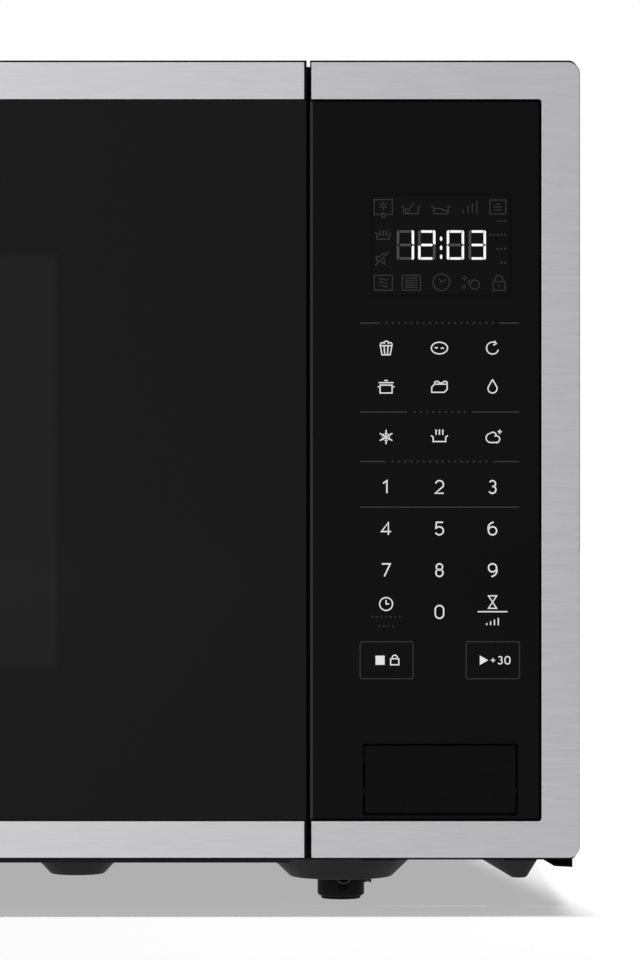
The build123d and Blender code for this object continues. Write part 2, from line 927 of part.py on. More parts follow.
def hinge_bracket(level, toward_middle):
    """Plate that reaches into the door with its pin, and a leg behind the front plate."""
    leg_front = plate_back + touch
    leg_back = leg_front + hinge_plate
    with BuildSketch(Plane.XY.offset(level - hinge_plate / 2)) as tongue:
        area(about(hinge_x, hinge_width), deep(hinge_depth, leg_back))
        with Locations((hinge_x, y_at(hinge_depth))):
            Circle(hinge_reach)
    extrude(tongue.sketch, amount=hinge_plate)
    block(
        hinge_leg_x,
        deep(leg_front, leg_back),
        span(level - toward_middle * hinge_plate / 2, level + toward_middle * hinge_leg_height),
    )
    rod(
        (hinge_x, y_at(hinge_depth), level),
        (0, 0, toward_middle),
        hinge_pin_radius,
        hinge_pin_length,
    )
    for x, z in hinge_screw_points:
        rod((x, y_at(leg_front - 1), z), REAR, screw_radius + 0.1, hinge_plate + 2, Mode.SUBTRACT)


# Lower hinge, whose pin points up into the door
with BuildPart() as lower_hinge:
    hinge_bracket(*hinge_levels["lower"])
lower_hinge.part.label = "lower_hinge"
export_step(lower_hinge.part, "parts/lower_hinge.step")

# Upper hinge, whose pin points down into the door
with BuildPart() as upper_hinge:
    hinge_bracket(*hinge_levels["upper"])
upper_hinge.part.label = "upper_hinge"
export_step(upper_hinge.part, "parts/upper_hinge.step")

# Bent steel wrapper of the cabinet: two sides, the top and a lip below each side
cabinet_back = overall_depth - bulge_depth
lip_z = front_bottom - lip_drop
lip_inner = cabinet_half - lip_width
lip_end = lip_inner - lip_turn_width
right_vents = (y_at(cabinet_back - vent_inset - 40), cavity_z[1] - vent_inset + 30)
left_vents = (y_at(cabinet_back - vent_inset), cavity_z[0] + vent_inset + 20)
rear_half = cabinet_half - cabinet_sheet - pass_gap
rear_z = (base_top + touch, cabinet_top - cabinet_sheet - pass_gap)
rear_screw_places = [
    (side * (rear_half - 4.8), z) for side in (-1, 1) for z in (rear_z[0] + 40, rear_z[1] - 16)
]
with BuildPart() as outer_cabinet:
    with BuildSketch(facing(cabinet_front)) as profile:
        with BuildLine():
            Polyline(
                (-lip_end, lip_z + lip_turn_rise),
                (-lip_inner, lip_z + lip_fall),
                (-cabinet_half, lip_z),
                (-cabinet_half, cabinet_top),
                (cabinet_half, cabinet_top),
                (cabinet_half, lip_z),
                (lip_inner, lip_z + lip_fall),
                (lip_end, lip_z + lip_turn_rise),
            )
            offset(amount=cabinet_sheet, side=Side.RIGHT, kind=Kind.INTERSECTION)
        make_face()
        corners = profile.vertices().group_by(Axis.Y)
        fillet(corners[-1], cabinet_corner)
        inner_corners = profile.vertices().filter_by(
            lambda v: abs(v.Y - (cabinet_top - cabinet_sheet)) < touch
            and abs(abs(v.X) - (cabinet_half - cabinet_sheet)) < touch
        )
        fillet(inner_corners, cabinet_corner - cabinet_sheet)
    extrude(amount=-(cabinet_back - cabinet_front))
    with BuildSketch(facing(cabinet_back - cabinet_sheet)) as flange:
        area((-cabinet_half, cabinet_half), (rear_z[0], cabinet_top))
        fillet(flange.vertices().group_by(Axis.Y)[-1], cabinet_corner)
        area(
            (-cabinet_half + cabinet_flange, cabinet_half - cabinet_flange),
            (0, cabinet_top - cabinet_flange),
            Mode.SUBTRACT,
        )
    extrude(amount=-cabinet_sheet)
    for x, z in rear_screw_places:
        rod((x, y_at(cabinet_back - 2), z), REAR, screw_radius + 0.1, 4, Mode.SUBTRACT)
    with BuildSketch(Plane.YZ.offset(-cabinet_half - 1)):
        with Locations(left_vents):
            with GridLocations(vent_slot_length + 6, vent_pitch, 3, 12):
                SlotOverall(vent_slot_length, vent_slot_width)
    extrude(amount=cabinet_sheet + 2, mode=Mode.SUBTRACT)
    with BuildSketch(Plane.YZ.offset(cabinet_half + 1)):
        with Locations(right_vents):
            with GridLocations(vent_slot_length + 6, vent_pitch, 4, 10):
                SlotOverall(vent_slot_length, vent_slot_width)
    extrude(amount=-cabinet_sheet - 2, mode=Mode.SUBTRACT)
outer_cabinet.part.label = "outer_cabinet"
export_step(outer_cabinet.part, "parts/outer_cabinet.step")


def standing(x, y):
    """Upright sketch plane through a point, with X right and Z up."""
    return Plane(origin=(x, y, 0), x_dir=RIGHT, z_dir=FORWARD)


def drawn_cup(x, y, mouth_radius, flat_radius, drop):
    """Round cup with a flat bottom, pressed down out of the base plate."""
    flat_z = base_bottom - drop
    inset = base_sheet * tan(radians(cup_wall_angle / 2))
    with BuildSketch(standing(x, y)) as outside:
        with BuildLine():
            Polyline(
                (0, flat_z),
                (flat_radius, flat_z),
                (mouth_radius, base_bottom),
                (mouth_radius + cup_bend, base_bottom),
                (mouth_radius + cup_bend, base_top),
                (0, base_top),
                close=True,
            )
        make_face()
        bends = outside.vertices().filter_by(
            lambda v: min(abs(v.X - flat_radius), abs(v.X - mouth_radius)) < touch
        )
        fillet(bends, cup_bend)
    with BuildSketch(standing(x, y)) as inside:
        with BuildLine():
            Polyline(
                (0, flat_z + base_sheet),
                (flat_radius - inset, flat_z + base_sheet),
                (mouth_radius - inset, base_top),
                (0, base_top),
                close=True,
            )
        make_face()
    revolve(outside.sketch, axis=Axis((x, y, 0), UP))
    revolve(inside.sketch, axis=Axis((x, y, 0), UP), mode=Mode.SUBTRACT)


def drawn_corner(side):
    """Cup near a front corner of the base plate, which leans out to a small round tip."""
    x = side * (base_half - corner_boss_size / 2)
    y = y_at(corner_boss_depth)
    for inset, mode in ((0, Mode.ADD), (base_sheet, Mode.SUBTRACT)):
        with BuildSketch(Plane.XY.offset(base_bottom + inset)) as mouth:
            with Locations((x, y)):
                RectangleRounded(
                    corner_boss_size - 2 * inset,
                    corner_boss_length - 2 * inset,
                    corner_boss_round - inset,
                )
        with BuildSketch(Plane.XY.offset(base_bottom - boss_drop + inset)) as end:
            with Locations((x + side * corner_boss_lean, y)):
                RectangleRounded(
                    corner_boss_tip - 2 * inset,
                    corner_tip_length - 2 * inset,
                    corner_tip_round - inset,
                )
        loft([mouth.sketch, end.sketch], mode=mode)


# Pressed base plate with its feet bosses, stiffeners and turned-up edges
foot_x = half_width - foot_inset_x
base_half = lip_end - pass_gap
base_front = cabinet_front + base_setback
base_back = cabinet_back - 2.0
flange_front = plate_back + trim_return + 1
rear_foot_depth = cabinet_back - rear_foot_inset
foot_places = [
    (side * foot_x, depth) for side in (-1, 1) for depth in (front_foot_depth, rear_foot_depth)
]
screw_pocket = 4.0
with BuildPart() as base_plate:
    block((-base_half, base_half), deep(base_front, base_back), (base_bottom, base_top))
    for side in (-1, 1):
        drawn_cup(
            side * (foot_x - stiffener_step),
            y_at(front_foot_depth),
            stiffener_mouth_radius,
            stiffener_flat_radius,
            stiffener_drop,
        )
        drawn_corner(side)
    tips = base_plate.faces().filter_by(
        lambda face: abs(face.center().Z - base_bottom + boss_drop) < touch
        and face.area < 2 * corner_boss_tip**2
    )
    fillet(tips.edges(), tip_bend)
    for side in (-1, 1):
        edge_x = side * (base_half - base_sheet / 2)
        block(about(edge_x, base_sheet), deep(flange_front, base_back), (base_bottom, base_top + 9))
    for x, depth in foot_places:
        drawn_cup(x, y_at(depth), boss_mouth_radius, boss_flat_radius, boss_drop)
        rod(
            (x, y_at(depth), foot_height - 1),
            UP,
            foot_stem_radius + pass_gap,
            base_sheet + 2,
            Mode.SUBTRACT,
        )
    with BuildSketch(Plane.XY.offset(base_bottom - 1)):
        with Locations((foot_x, y_at((front_foot_depth + rear_foot_depth) / 2))):
            with GridLocations(26, vent_pitch, 3, 10):
                SlotOverall(vent_slot_length, vent_slot_width)
    extrude(amount=base_sheet + 2, mode=Mode.SUBTRACT)
    block(
        (-base_half, foot_x - boss_flat_radius),
        deep(base_front, base_front + base_sheet),
        (base_bottom - base_lip_drop, base_top),
    )
base_plate.part.label = "base_plate"
export_step(base_plate.part, "parts/base_plate.step")


def foot(x, depth):
    """Moulded foot with a stem through the base, a tab, an eye in front and a screw pocket below."""
    y = y_at(depth)
    top = foot_height - touch
    eye = (x + foot_eye_shift, y, foot_height + foot_eye_rise)
    with BuildSketch(standing(x, y)) as half:
        with BuildLine():
            Polyline(
                (0, 0),
                (foot_base_radius, 0),
                (foot_base_radius, foot_base_height),
                (foot_radius, foot_base_height),
                (foot_radius, top),
                (foot_stem_radius, top),
                (foot_stem_radius, foot_height + base_sheet + 2),
                (0, foot_height + base_sheet + 2),
                close=True,
            )
        make_face()
        fillet(half.vertices().group_by(Axis.X)[-1].sort_by(Axis.Y)[0], foot_shoulder)
    revolve(half.sketch, axis=Axis((x, y, 0), UP))
    block((x, x + foot_radius + foot_tab_reach), about(y, foot_tab_width), (top - foot_tab_height, top))
    rod(eye, FORWARD, foot_eye_radius + foot_eye_rim, foot_radius + foot_eye_proud)
    block(about(x, 2 * foot_radius), (y - foot_radius - 1, y), (top, 2 * foot_height), Mode.SUBTRACT)
    rod((x, y, foot_height / 2), UP, foot_stem_radius, foot_height / 2 + base_sheet + 2)
    eye_front = (eye[0], y - foot_radius - 1, eye[2])
    rod(eye_front, REAR, foot_eye_radius, foot_eye_bore, Mode.SUBTRACT)
    rod((x, y, -1), UP, screw_head_radius + 0.3, screw_pocket + 1, Mode.SUBTRACT)
    rod((x, y, 0), UP, screw_radius + 0.1, 2 * foot_height, Mode.SUBTRACT)


# Four feet
with BuildPart() as feet:
    for x, depth in foot_places:
        foot(x, depth)
feet.part.label = "feet"
export_step(feet.part, "parts/feet.step")

# Sides and top of the oven cavity, with the waveguide port, the lamp's holes and the vents
wall_x = grow(cavity_x, sheet)
wall_right = wall_x[1]
wall_z = (cavity_z[0] + touch, cavity_z[1] + sheet)
cavity_y = (plate_back + touch, cavity_back_depth)
port_depth = (waveguide_depth + waveguide_length - 80.0, waveguide_depth + waveguide_length - 12.0)
guide_z = (cavity_z[0] + waveguide_rise, cavity_z[0] + waveguide_rise + waveguide_height)
tube_z = sum(guide_z) / 2
latch_back = hook_tip_depth + 3 + switch_depth
duct_start = latch_back + 4.0
port_z = grow(guide_z, -12.0)
lamp_place = (cavity_back_depth - lamp_inset, cavity_z[1] - lamp_drop)
wall_hole = 1.5
lamp_hole_rings = ((4.5, 6), (9.0, 12))
wall_vent_inset = 60.0
with BuildPart() as cavity_wrap:
    block(wall_x, deep(*cavity_y), wall_z)
    block(cavity_x, deep(0, overall_depth), (0, cavity_z[1]), Mode.SUBTRACT)
    block((cavity_x[1] - 1, wall_right + 1), deep(*port_depth), port_z, Mode.SUBTRACT)
    with BuildSketch(Plane.YZ.offset(cavity_x[1] - 1)):
        with Locations((y_at(lamp_place[0]), lamp_place[1])):
            Circle(wall_hole)
            for reach, count in lamp_hole_rings:
                with PolarLocations(reach, count):
                    Circle(wall_hole)
        with Locations((y_at(duct_start + 23), tube_z)):
            with GridLocations(5, 5, 8, 12):
                Circle(wall_hole)
    extrude(amount=sheet + 2, mode=Mode.SUBTRACT)
    with BuildSketch(Plane.YZ.offset(wall_x[0] - 1)):
        with Locations((y_at(cavity_back_depth - wall_vent_inset), cavity_z[1] - wall_vent_inset)):
            with GridLocations(5, 5, 12, 8):
                Circle(wall_hole)
    extrude(amount=sheet + 2, mode=Mode.SUBTRACT)
cavity_wrap.part.label = "cavity_wrap"
export_step(cavity_wrap.part, "parts/cavity_wrap.step")

# Floor of the cavity with the hole of the drive shaft
turn_x = sum(cavity_x) / 2
turn_y = y_at((plate_back + cavity_back_depth) / 2)
floor_z = (cavity_z[0] - sheet, cavity_z[0])
with BuildPart() as cavity_floor:
    block(wall_x, deep(cavity_y[0], cavity_back_depth + touch + sheet), floor_z)
    rod((turn_x, turn_y, floor_z[0] - 1), UP, motor_boss_radius + 1, sheet + 2, Mode.SUBTRACT)
cavity_floor.part.label = "cavity_floor"
export_step(cavity_floor.part, "parts/cavity_floor.step")

# Rear wall of the cavity
with BuildPart() as cavity_back:
    block(
        wall_x,
        deep(cavity_back_depth + touch, cavity_back_depth + touch + sheet),
        wall_z,
    )
cavity_back.part.label = "cavity_back"
export_step(cavity_back.part, "parts/cavity_back.step")

# Motor of the turntable under the floor
motor_top = floor_z[0] - touch
with BuildPart() as turntable_motor:
    rod((turn_x, turn_y, motor_top), DOWN, turntable_motor_radius, turntable_motor_height)
    block(
        about(turn_x, 2 * turntable_motor_radius + 16),
        about(turn_y, 14.0),
        (motor_top - 1.2, motor_top),
    )
    block(
        (turn_x + turntable_motor_radius - 6, turn_x + turntable_motor_radius + 5),
        about(turn_y + 14, 12.0),
        (motor_top - turntable_motor_height, motor_top - turntable_motor_height + 6),
    )
    rod((turn_x, turn_y, motor_top), UP, motor_boss_radius, sheet + touch + 0.6)
    rod(
        (turn_x, turn_y, motor_top + 5),
        DOWN,
        drive_shaft_radius + running,
        16,
        Mode.SUBTRACT,
    )
turntable_motor.part.label = "turntable_motor"
export_step(turntable_motor.part, "parts/turntable_motor.step")

# Shaft of the turntable motor
coupler_z = cavity_z[0] + 1.5
shaft_top = coupler_z + coupler_height - 4
with BuildPart() as drive_shaft:
    rod(
        (turn_x, turn_y, motor_top - 10),
        UP,
        drive_shaft_radius,
        shaft_top - motor_top + 10,
    )
    block(
        (turn_x + drive_shaft_radius - 1, turn_x + drive_shaft_radius + 1),
        about(turn_y, 2 * drive_shaft_radius),
        (coupler_z, shaft_top + 1),
        Mode.SUBTRACT,
    )
drive_shaft.part.label = "drive_shaft"
export_step(drive_shaft.part, "parts/drive_shaft.step")

# Coupler with three lobes that drive the tray
with BuildPart() as drive_coupler:
    rod((turn_x, turn_y, coupler_z), UP, coupler_radius, coupler_flange)
    rod((turn_x, turn_y, coupler_z), UP, coupler_radius - 5, coupler_height)
    with BuildSketch(Plane.XY.offset(coupler_z + coupler_flange)):
        with Locations((turn_x, turn_y)):
            with PolarLocations(0, 3):
                Rectangle(
                    coupler_lobe,
                    coupler_lobe_width,
                    align=(Align.MIN, Align.CENTER),
                )
    extrude(amount=coupler_height - coupler_flange)
    rod(
        (turn_x, turn_y, coupler_z - 1),
        UP,
        drive_shaft_radius + running,
        shaft_top - coupler_z + 1 + pass_gap,
        Mode.SUBTRACT,
    )
drive_coupler.part.label = "drive_coupler"
export_step(drive_coupler.part, "parts/drive_coupler.step")

# Roller ring: a hub ring, three arms, an outer ring and three stub axles
roller_z = cavity_z[0] + touch + roller_radius
ring_z = roller_z - ring_thickness / 2
ring_outer = roller_path - roller_width / 2 - pass_gap
with BuildPart() as roller_ring:
    with BuildSketch(Plane.XY.offset(ring_z)):
        with Locations((turn_x, turn_y)):
            Circle(ring_outer)
            Circle(ring_outer - ring_width, mode=Mode.SUBTRACT)
            Circle(spider_hub_radius)
            with PolarLocations(0, 3):
                with Locations(((spider_hub_radius + ring_outer) / 2 - 3, 0)):
                    Rectangle(ring_outer - spider_hub_radius - 2, 10)
            Circle(spider_hub_radius - spider_hub_wall, mode=Mode.SUBTRACT)
    extrude(amount=ring_thickness)
    for index in range(3):
        angle = radians(120 * index)
        outward = (cos(angle), sin(angle), 0)
        rod(
            (turn_x + (ring_outer - 4) * cos(angle), turn_y + (ring_outer - 4) * sin(angle), roller_z),
            outward,
            axle_radius,
            roller_width + 7,
        )
roller_ring.part.label = "roller_ring"
export_step(roller_ring.part, "parts/roller_ring.step")


def roller(index):
    """One wheel of the roller ring on its stub axle."""
    angle = radians(120 * index)
    outward = (cos(angle), sin(angle), 0)
    inner = roller_path - roller_width / 2
    start = (turn_x + inner * cos(angle), turn_y + inner * sin(angle), roller_z)
    rod(start, outward, roller_radius, roller_width)
    hole_start = (turn_x + (inner - 1) * cos(angle), turn_y + (inner - 1) * sin(angle), roller_z)
    rod(hole_start, outward, axle_radius + running, roller_width + 2, Mode.SUBTRACT)


# Three rollers
with BuildPart() as roller_1:
    roller(0)
roller_1.part.label = "roller_1"
export_step(roller_1.part, "parts/roller_1.step")

with BuildPart() as roller_2:
    roller(1)
roller_2.part.label = "roller_2"
export_step(roller_2.part, "parts/roller_2.step")

with BuildPart() as roller_3:
    roller(2)
roller_3.part.label = "roller_3"
export_step(roller_3.part, "parts/roller_3.step")

# Glass tray with a raised rim and three lugs that sit between the coupler's lobes
tray_z = roller_z + roller_radius + touch
tray_radius = min(cavity_x[1] - cavity_x[0], cavity_back_depth - plate_back) / 2 - tray_gap
tray_floor_radius = tray_radius - tray_slope
lug_inner = coupler_radius - 2
lug_outer = spider_hub_radius - spider_hub_wall - pass_gap
with BuildPart() as glass_tray:
    with BuildSketch(Plane(origin=(turn_x, turn_y, tray_z), x_dir=RIGHT, z_dir=FORWARD)):
        with BuildLine():
            Line((0, 0), (tray_floor_radius, 0))
            Spline(
                (tray_floor_radius, 0),
                (tray_radius, tray_rim_height),
                tangents=((1, 0), (0.5, 1)),
            )
            Line((tray_radius, tray_rim_height), (tray_radius - 1.5, tray_rim_height + 2.5))
            Line(
                (tray_radius - 1.5, tray_rim_height + 2.5),
                (tray_radius - tray_thickness, tray_rim_height + 1.5),
            )
            Spline(
                (tray_radius - tray_thickness, tray_rim_height + 1.5),
                (tray_floor_radius - 2, tray_thickness),
                tangents=((-0.5, -1), (-1, 0)),
            )
            Line((tray_floor_radius - 2, tray_thickness), (0, tray_thickness))
            Line((0, tray_thickness), (0, 0))
        make_face()
    revolve(axis=Axis((turn_x, turn_y, 0), UP))
    with BuildSketch(Plane.XY.offset(tray_z)):
        with Locations((turn_x, turn_y)):
            with PolarLocations(0, 3, start_angle=60):
                Rectangle(lug_outer, 7, align=(Align.MIN, Align.CENTER))
            Circle(lug_inner, mode=Mode.SUBTRACT)
    extrude(amount=-(tray_z - coupler_z - coupler_flange - 3))
glass_tray.part.label = "glass_tray"
export_step(glass_tray.part, "parts/glass_tray.step")

# Duct that leads the microwaves from the magnetron to the port in the cavity wall
works_left = wall_right + touch
guide_x = (works_left, works_left + waveguide_thickness)
guide_depth = (waveguide_depth, waveguide_depth + waveguide_length)
tube_depth = waveguide_depth + magnetron_length / 2
with BuildPart() as waveguide:
    block(guide_x, deep(*guide_depth), guide_z)
    block(
        grow(guide_x, -sheet),
        deep(guide_depth[0] + sheet, guide_depth[1] - sheet),
        grow(guide_z, -sheet),
        Mode.SUBTRACT,
    )
    block((guide_x[0] - 1, guide_x[0] + 2), deep(*port_depth), port_z, Mode.SUBTRACT)
    rod((guide_x[1] - 2, y_at(tube_depth), tube_z), RIGHT, antenna_radius + 3, 4, Mode.SUBTRACT)
waveguide.part.label = "waveguide"
export_step(waveguide.part, "parts/waveguide.step")

# Mica sheet that covers the port inside the cavity
with BuildPart() as waveguide_cover:
    block(
        (cavity_x[1] - touch - 0.6, cavity_x[1] - touch),
        deep(port_depth[0] - 10, port_depth[1] + 10),
        grow(port_z, 10),
    )
    fillet(waveguide_cover.edges().filter_by(Axis.X), 4)
waveguide_cover.part.label = "waveguide_cover"
export_step(waveguide_cover.part, "parts/waveguide_cover.step")

# Magnetron: frame, tube with its antenna, cooling fins, magnets and filter box
yoke_left = guide_x[1] + touch
yoke_x = (yoke_left, yoke_left + magnetron_width)
yoke_wall = 1.6
yoke_y = deep(tube_depth - magnetron_length / 2, tube_depth + magnetron_length / 2)
yoke_z = about(tube_z, magnetron_height)
with BuildPart() as magnetron_yoke:
    block(yoke_x, yoke_y, yoke_z)
    block(grow(yoke_x, -yoke_wall), grow(yoke_y, 1), grow(yoke_z, -yoke_wall), Mode.SUBTRACT)
    rod((yoke_x[0] - 1, y_at(tube_depth), tube_z), RIGHT, antenna_radius + 2, 4, Mode.SUBTRACT)
    rod((yoke_x[1] - 3, y_at(tube_depth), tube_z), RIGHT, antenna_radius + 4, 5, Mode.SUBTRACT)
magnetron_yoke.part.label = "magnetron_yoke"
export_step(magnetron_yoke.part, "parts/magnetron_yoke.step")

magnet_places = (
    yoke_x[0] + yoke_wall + touch,
    yoke_x[1] - yoke_wall - touch - magnet_thickness,
)
anode_x = (
    magnet_places[0] + magnet_thickness + touch,
    magnet_places[1] - touch,
)
with BuildPart() as magnetron_tube:
    rod((anode_x[0], y_at(tube_depth), tube_z), RIGHT, anode_radius, anode_x[1] - anode_x[0])
    rod(
        (guide_x[1] - antenna_length, y_at(tube_depth), tube_z),
        RIGHT,
        antenna_radius,
        yoke_x[1] + 2 - guide_x[1] + antenna_length,
    )
magnetron_tube.part.label = "magnetron_tube"
export_step(magnetron_tube.part, "parts/magnetron_tube.step")

fin_start = sum(anode_x) / 2 - fin_pitch * (fin_count - 1) / 2
with BuildPart() as magnetron_fins:
    for index in range(fin_count):
        fin_x = fin_start + index * fin_pitch
        block(
            about(fin_x, fin_thickness),
            grow(yoke_y, -3),
            grow(yoke_z, -yoke_wall - pass_gap),
        )
    rod(
        (fin_start - fin_thickness - 1, y_at(tube_depth), tube_z),
        RIGHT,
        anode_radius + touch,
        fin_pitch * fin_count + 2,
        Mode.SUBTRACT,
    )
magnetron_fins.part.label = "magnetron_fins"
export_step(magnetron_fins.part, "parts/magnetron_fins.step")

with BuildPart() as magnetron_magnets:
    for start in magnet_places:
        rod((start, y_at(tube_depth), tube_z), RIGHT, magnet_radius, magnet_thickness)
        rod(
            (start - 1, y_at(tube_depth), tube_z),
            RIGHT,
            antenna_radius + touch,
            magnet_thickness + 2,
            Mode.SUBTRACT,
        )
magnetron_magnets.part.label = "magnetron_magnets"
export_step(magnetron_magnets.part, "parts/magnetron_magnets.step")

filter_x = (yoke_x[1] + touch, yoke_x[1] + touch + filter_width)
with BuildPart() as magnetron_filter:
    block(filter_x, about(y_at(tube_depth), 60.0), about(tube_z, 56.0))
    block(
        (filter_x[0] - 1, filter_x[1] - 1),
        about(y_at(tube_depth), 58.0),
        about(tube_z, 54.0),
        Mode.SUBTRACT,
    )
magnetron_filter.part.label = "magnetron_filter"
export_step(magnetron_filter.part, "parts/magnetron_filter.step")

# Duct that leads the cooling air from the fins to the cavity's vents
duct_wall = 1.6
duct_depth = (duct_start, waveguide_depth - 2.0)
duct_x = (works_left, yoke_x[1])
with BuildPart() as air_duct:
    with BuildSketch(Plane.XY.offset(yoke_z[0])) as plan:
        with BuildLine():
            Polyline(
                (duct_x[0], y_at(duct_depth[0])),
                (duct_x[0] + 14, y_at(duct_depth[0])),
                (duct_x[1], y_at(duct_depth[1])),
                (duct_x[0], y_at(duct_depth[1])),
                close=True,
            )
        make_face()
    extrude(amount=magnetron_height)
    with BuildSketch(Plane.XY.offset(yoke_z[0] + duct_wall)):
        with BuildLine():
            Polyline(
                (duct_x[0] - 1, y_at(duct_depth[0]) + duct_wall),
                (duct_x[0] + 14 - duct_wall / 2, y_at(duct_depth[0]) + duct_wall),
                (duct_x[1] - 2 * duct_wall, y_at(duct_depth[1]) + 1),
                (duct_x[0] - 1, y_at(duct_depth[1]) + 1),
                close=True,
            )
        make_face()
    extrude(amount=magnetron_height - 2 * duct_wall, mode=Mode.SUBTRACT)
air_duct.part.label = "air_duct"
export_step(air_duct.part, "parts/air_duct.step")

# Transformer: laminated core on a foot plate, and its two windings
core_x = about((works_left + cabinet_half) / 2, core_width)
core_y = deep(tube_depth + 10, tube_depth + 10 + core_depth)
core_z = (base_top + touch, base_top + touch + core_height)
core_window_z = grow(core_z, -core_leg / 2)
core_mid_x = sum(core_x) / 2
with BuildPart() as transformer_core:
    block(core_x, core_y, core_z)
    for side in (-1, 1):
        edge = core_mid_x + side * core_leg / 2
        block(span(edge, edge + side * core_window), grow(core_y, 1), core_window_z, Mode.SUBTRACT)
transformer_core.part.label = "transformer_core"
export_step(transformer_core.part, "parts/transformer_core.step")

winding_x = (
    core_mid_x - core_leg / 2 - core_window + pass_gap,
    core_mid_x + core_leg / 2 + core_window - pass_gap,
)
winding_split = core_window_z[0] + 0.45 * (core_window_z[1] - core_window_z[0])
winding_levels = (
    (core_window_z[0] + pass_gap, winding_split - 1),
    (winding_split + 1, core_window_z[1] - pass_gap),
)
with BuildPart() as transformer_windings:
    for level in winding_levels:
        block(winding_x, grow(core_y, winding_overhang), level)
    fillet(transformer_windings.edges().filter_by(Axis.Z), 5)
    block(
        about(core_mid_x, core_leg + 2 * pass_gap),
        grow(core_y, pass_gap),
        grow(core_window_z, 1),
        Mode.SUBTRACT,
    )
transformer_windings.part.label = "transformer_windings"
export_step(transformer_windings.part, "parts/transformer_windings.step")

# High-voltage capacitor, lying on the base
can_x = core_x[1] - capacitor_width / 2 - 4
can_y = (core_y[1] + winding_overhang + 14, core_y[1] + winding_overhang + 14 + capacitor_length)
can_z = base_top + touch + 1.2 + capacitor_thickness / 2
with BuildPart() as capacitor:
    with BuildSketch(Plane.XZ.offset(-can_y[0])):
        with Locations((can_x, can_z)):
            SlotOverall(capacitor_width, capacitor_thickness)
    extrude(amount=-capacitor_length)
    for side in (-10, 10):
        rod((can_x + side, can_y[0], can_z), FORWARD, 4.0, 3.0)
        block(about(can_x + side, 0.8), (can_y[0] - 11, can_y[0] - 2), about(can_z, 6.3))
capacitor.part.label = "capacitor"
export_step(capacitor.part, "parts/capacitor.step")

# Cooling fan in the rear of the compartment: shroud, motor, shaft and blade
fan_x = (works_left + cabinet_half) / 2 + 6
fan_z = tube_z
rear_plate_back = cabinet_back - cabinet_sheet - touch
rear_plate_front = rear_plate_back - sheet
shroud_back = rear_plate_front - touch
shroud_front = shroud_back - shroud_depth
shroud_wall = 1.8
bore_radius = fan_radius + fan_tip_gap
shroud_size = 2 * (bore_radius + shroud_margin)
with BuildPart() as fan_shroud:
    block(about(fan_x, shroud_size), deep(shroud_front, shroud_back), about(fan_z, shroud_size))
    block(
        about(fan_x, shroud_size - 2 * shroud_wall),
        deep(shroud_front + shroud_wall, shroud_back + 1),
        about(fan_z, shroud_size - 2 * shroud_wall),
        Mode.SUBTRACT,
    )
    rod((fan_x, y_at(shroud_front), fan_z), REAR, bore_radius + shroud_wall, shroud_depth)
    rod((fan_x, y_at(shroud_front - 1), fan_z), REAR, bore_radius, shroud_depth + 3, Mode.SUBTRACT)
fan_shroud.part.label = "fan_shroud"
export_step(fan_shroud.part, "parts/fan_shroud.step")

motor_back = shroud_front - 6.0
motor_front = motor_back - fan_motor_thickness
arm_length = shroud_front - motor_back
with BuildPart() as fan_motor:
    block(
        about(fan_x, fan_motor_size),
        deep(motor_front, motor_back),
        about(fan_z + 8, fan_motor_size + 12),
    )
    rod((fan_x, y_at(motor_front), fan_z), FORWARD, 14, 9)
    block(about(fan_x, 34.0), deep(motor_front - 8, motor_back + 3), (fan_z + 26, fan_z + 40))
    block(about(fan_x, 2 * bore_radius + 8), deep(motor_back, motor_back + 1.5), about(fan_z, 14.0))
    for side in (-1, 1):
        block(
            about(fan_x + side * (bore_radius + 1), 5.0),
            deep(motor_back, shroud_front - touch),
            about(fan_z, 14.0),
        )
    rod((fan_x, y_at(motor_front - 10), fan_z), REAR, fan_shaft_radius + running, 60, Mode.SUBTRACT)
fan_motor.part.label = "fan_motor"
export_step(fan_motor.part, "parts/fan_motor.step")

blade_front = shroud_front + 4.0
vane_pitch = radians(32)
with BuildPart() as fan_shaft:
    rod(
        (fan_x, y_at(motor_front - 6), fan_z),
        REAR,
        fan_shaft_radius,
        blade_front + fan_blade_width + 3 - motor_front + 6,
    )
fan_shaft.part.label = "fan_shaft"
export_step(fan_shaft.part, "parts/fan_shaft.step")

with BuildPart() as fan_blade:
    rod((fan_x, y_at(blade_front), fan_z), REAR, fan_hub_radius, fan_blade_width)
    for index in range(fan_blades):
        turn = radians(360 / fan_blades * index)
        vane_normal = (
            -sin(vane_pitch) * sin(turn),
            -cos(vane_pitch),
            sin(vane_pitch) * cos(turn),
        )
        vane_plane = Plane(
            origin=(fan_x, y_at(blade_front + fan_blade_width / 2), fan_z),
            x_dir=(cos(turn), 0, sin(turn)),
            z_dir=vane_normal,
        )
        with BuildSketch(vane_plane):
            with Locations((fan_hub_radius - 3, 0)):
                Rectangle(fan_radius - fan_hub_radius + 1, 20, align=(Align.MIN, Align.CENTER))
        extrude(amount=0.8, both=True)
    with BuildSketch(facing(blade_front)):
        with Locations((fan_x, fan_z)):
            Circle(fan_radius)
    extrude(amount=-fan_blade_width, mode=Mode.INTERSECT)
    rod((fan_x, y_at(blade_front - 1), fan_z), REAR, fan_shaft_radius + touch, 40, Mode.SUBTRACT)
fan_blade.part.label = "fan_blade"
export_step(fan_blade.part, "parts/fan_blade.step")

# Rear panel with its drawn bulge, fan grille, exhaust slots and cord hole
bulge_end_x = grow(wall_x, bulge_margin)
bulge_end_z = (floor_z[0] - bulge_margin, wall_z[1] + bulge_margin)
bulge_start_x = grow(bulge_end_x, bulge_flare)
bulge_start_z = grow(bulge_end_z, bulge_flare)
bulge_end_depth = overall_depth
gland_place = (cabinet_half - 48.0, base_top + 50.0)
gland_hole_radius = 9.0


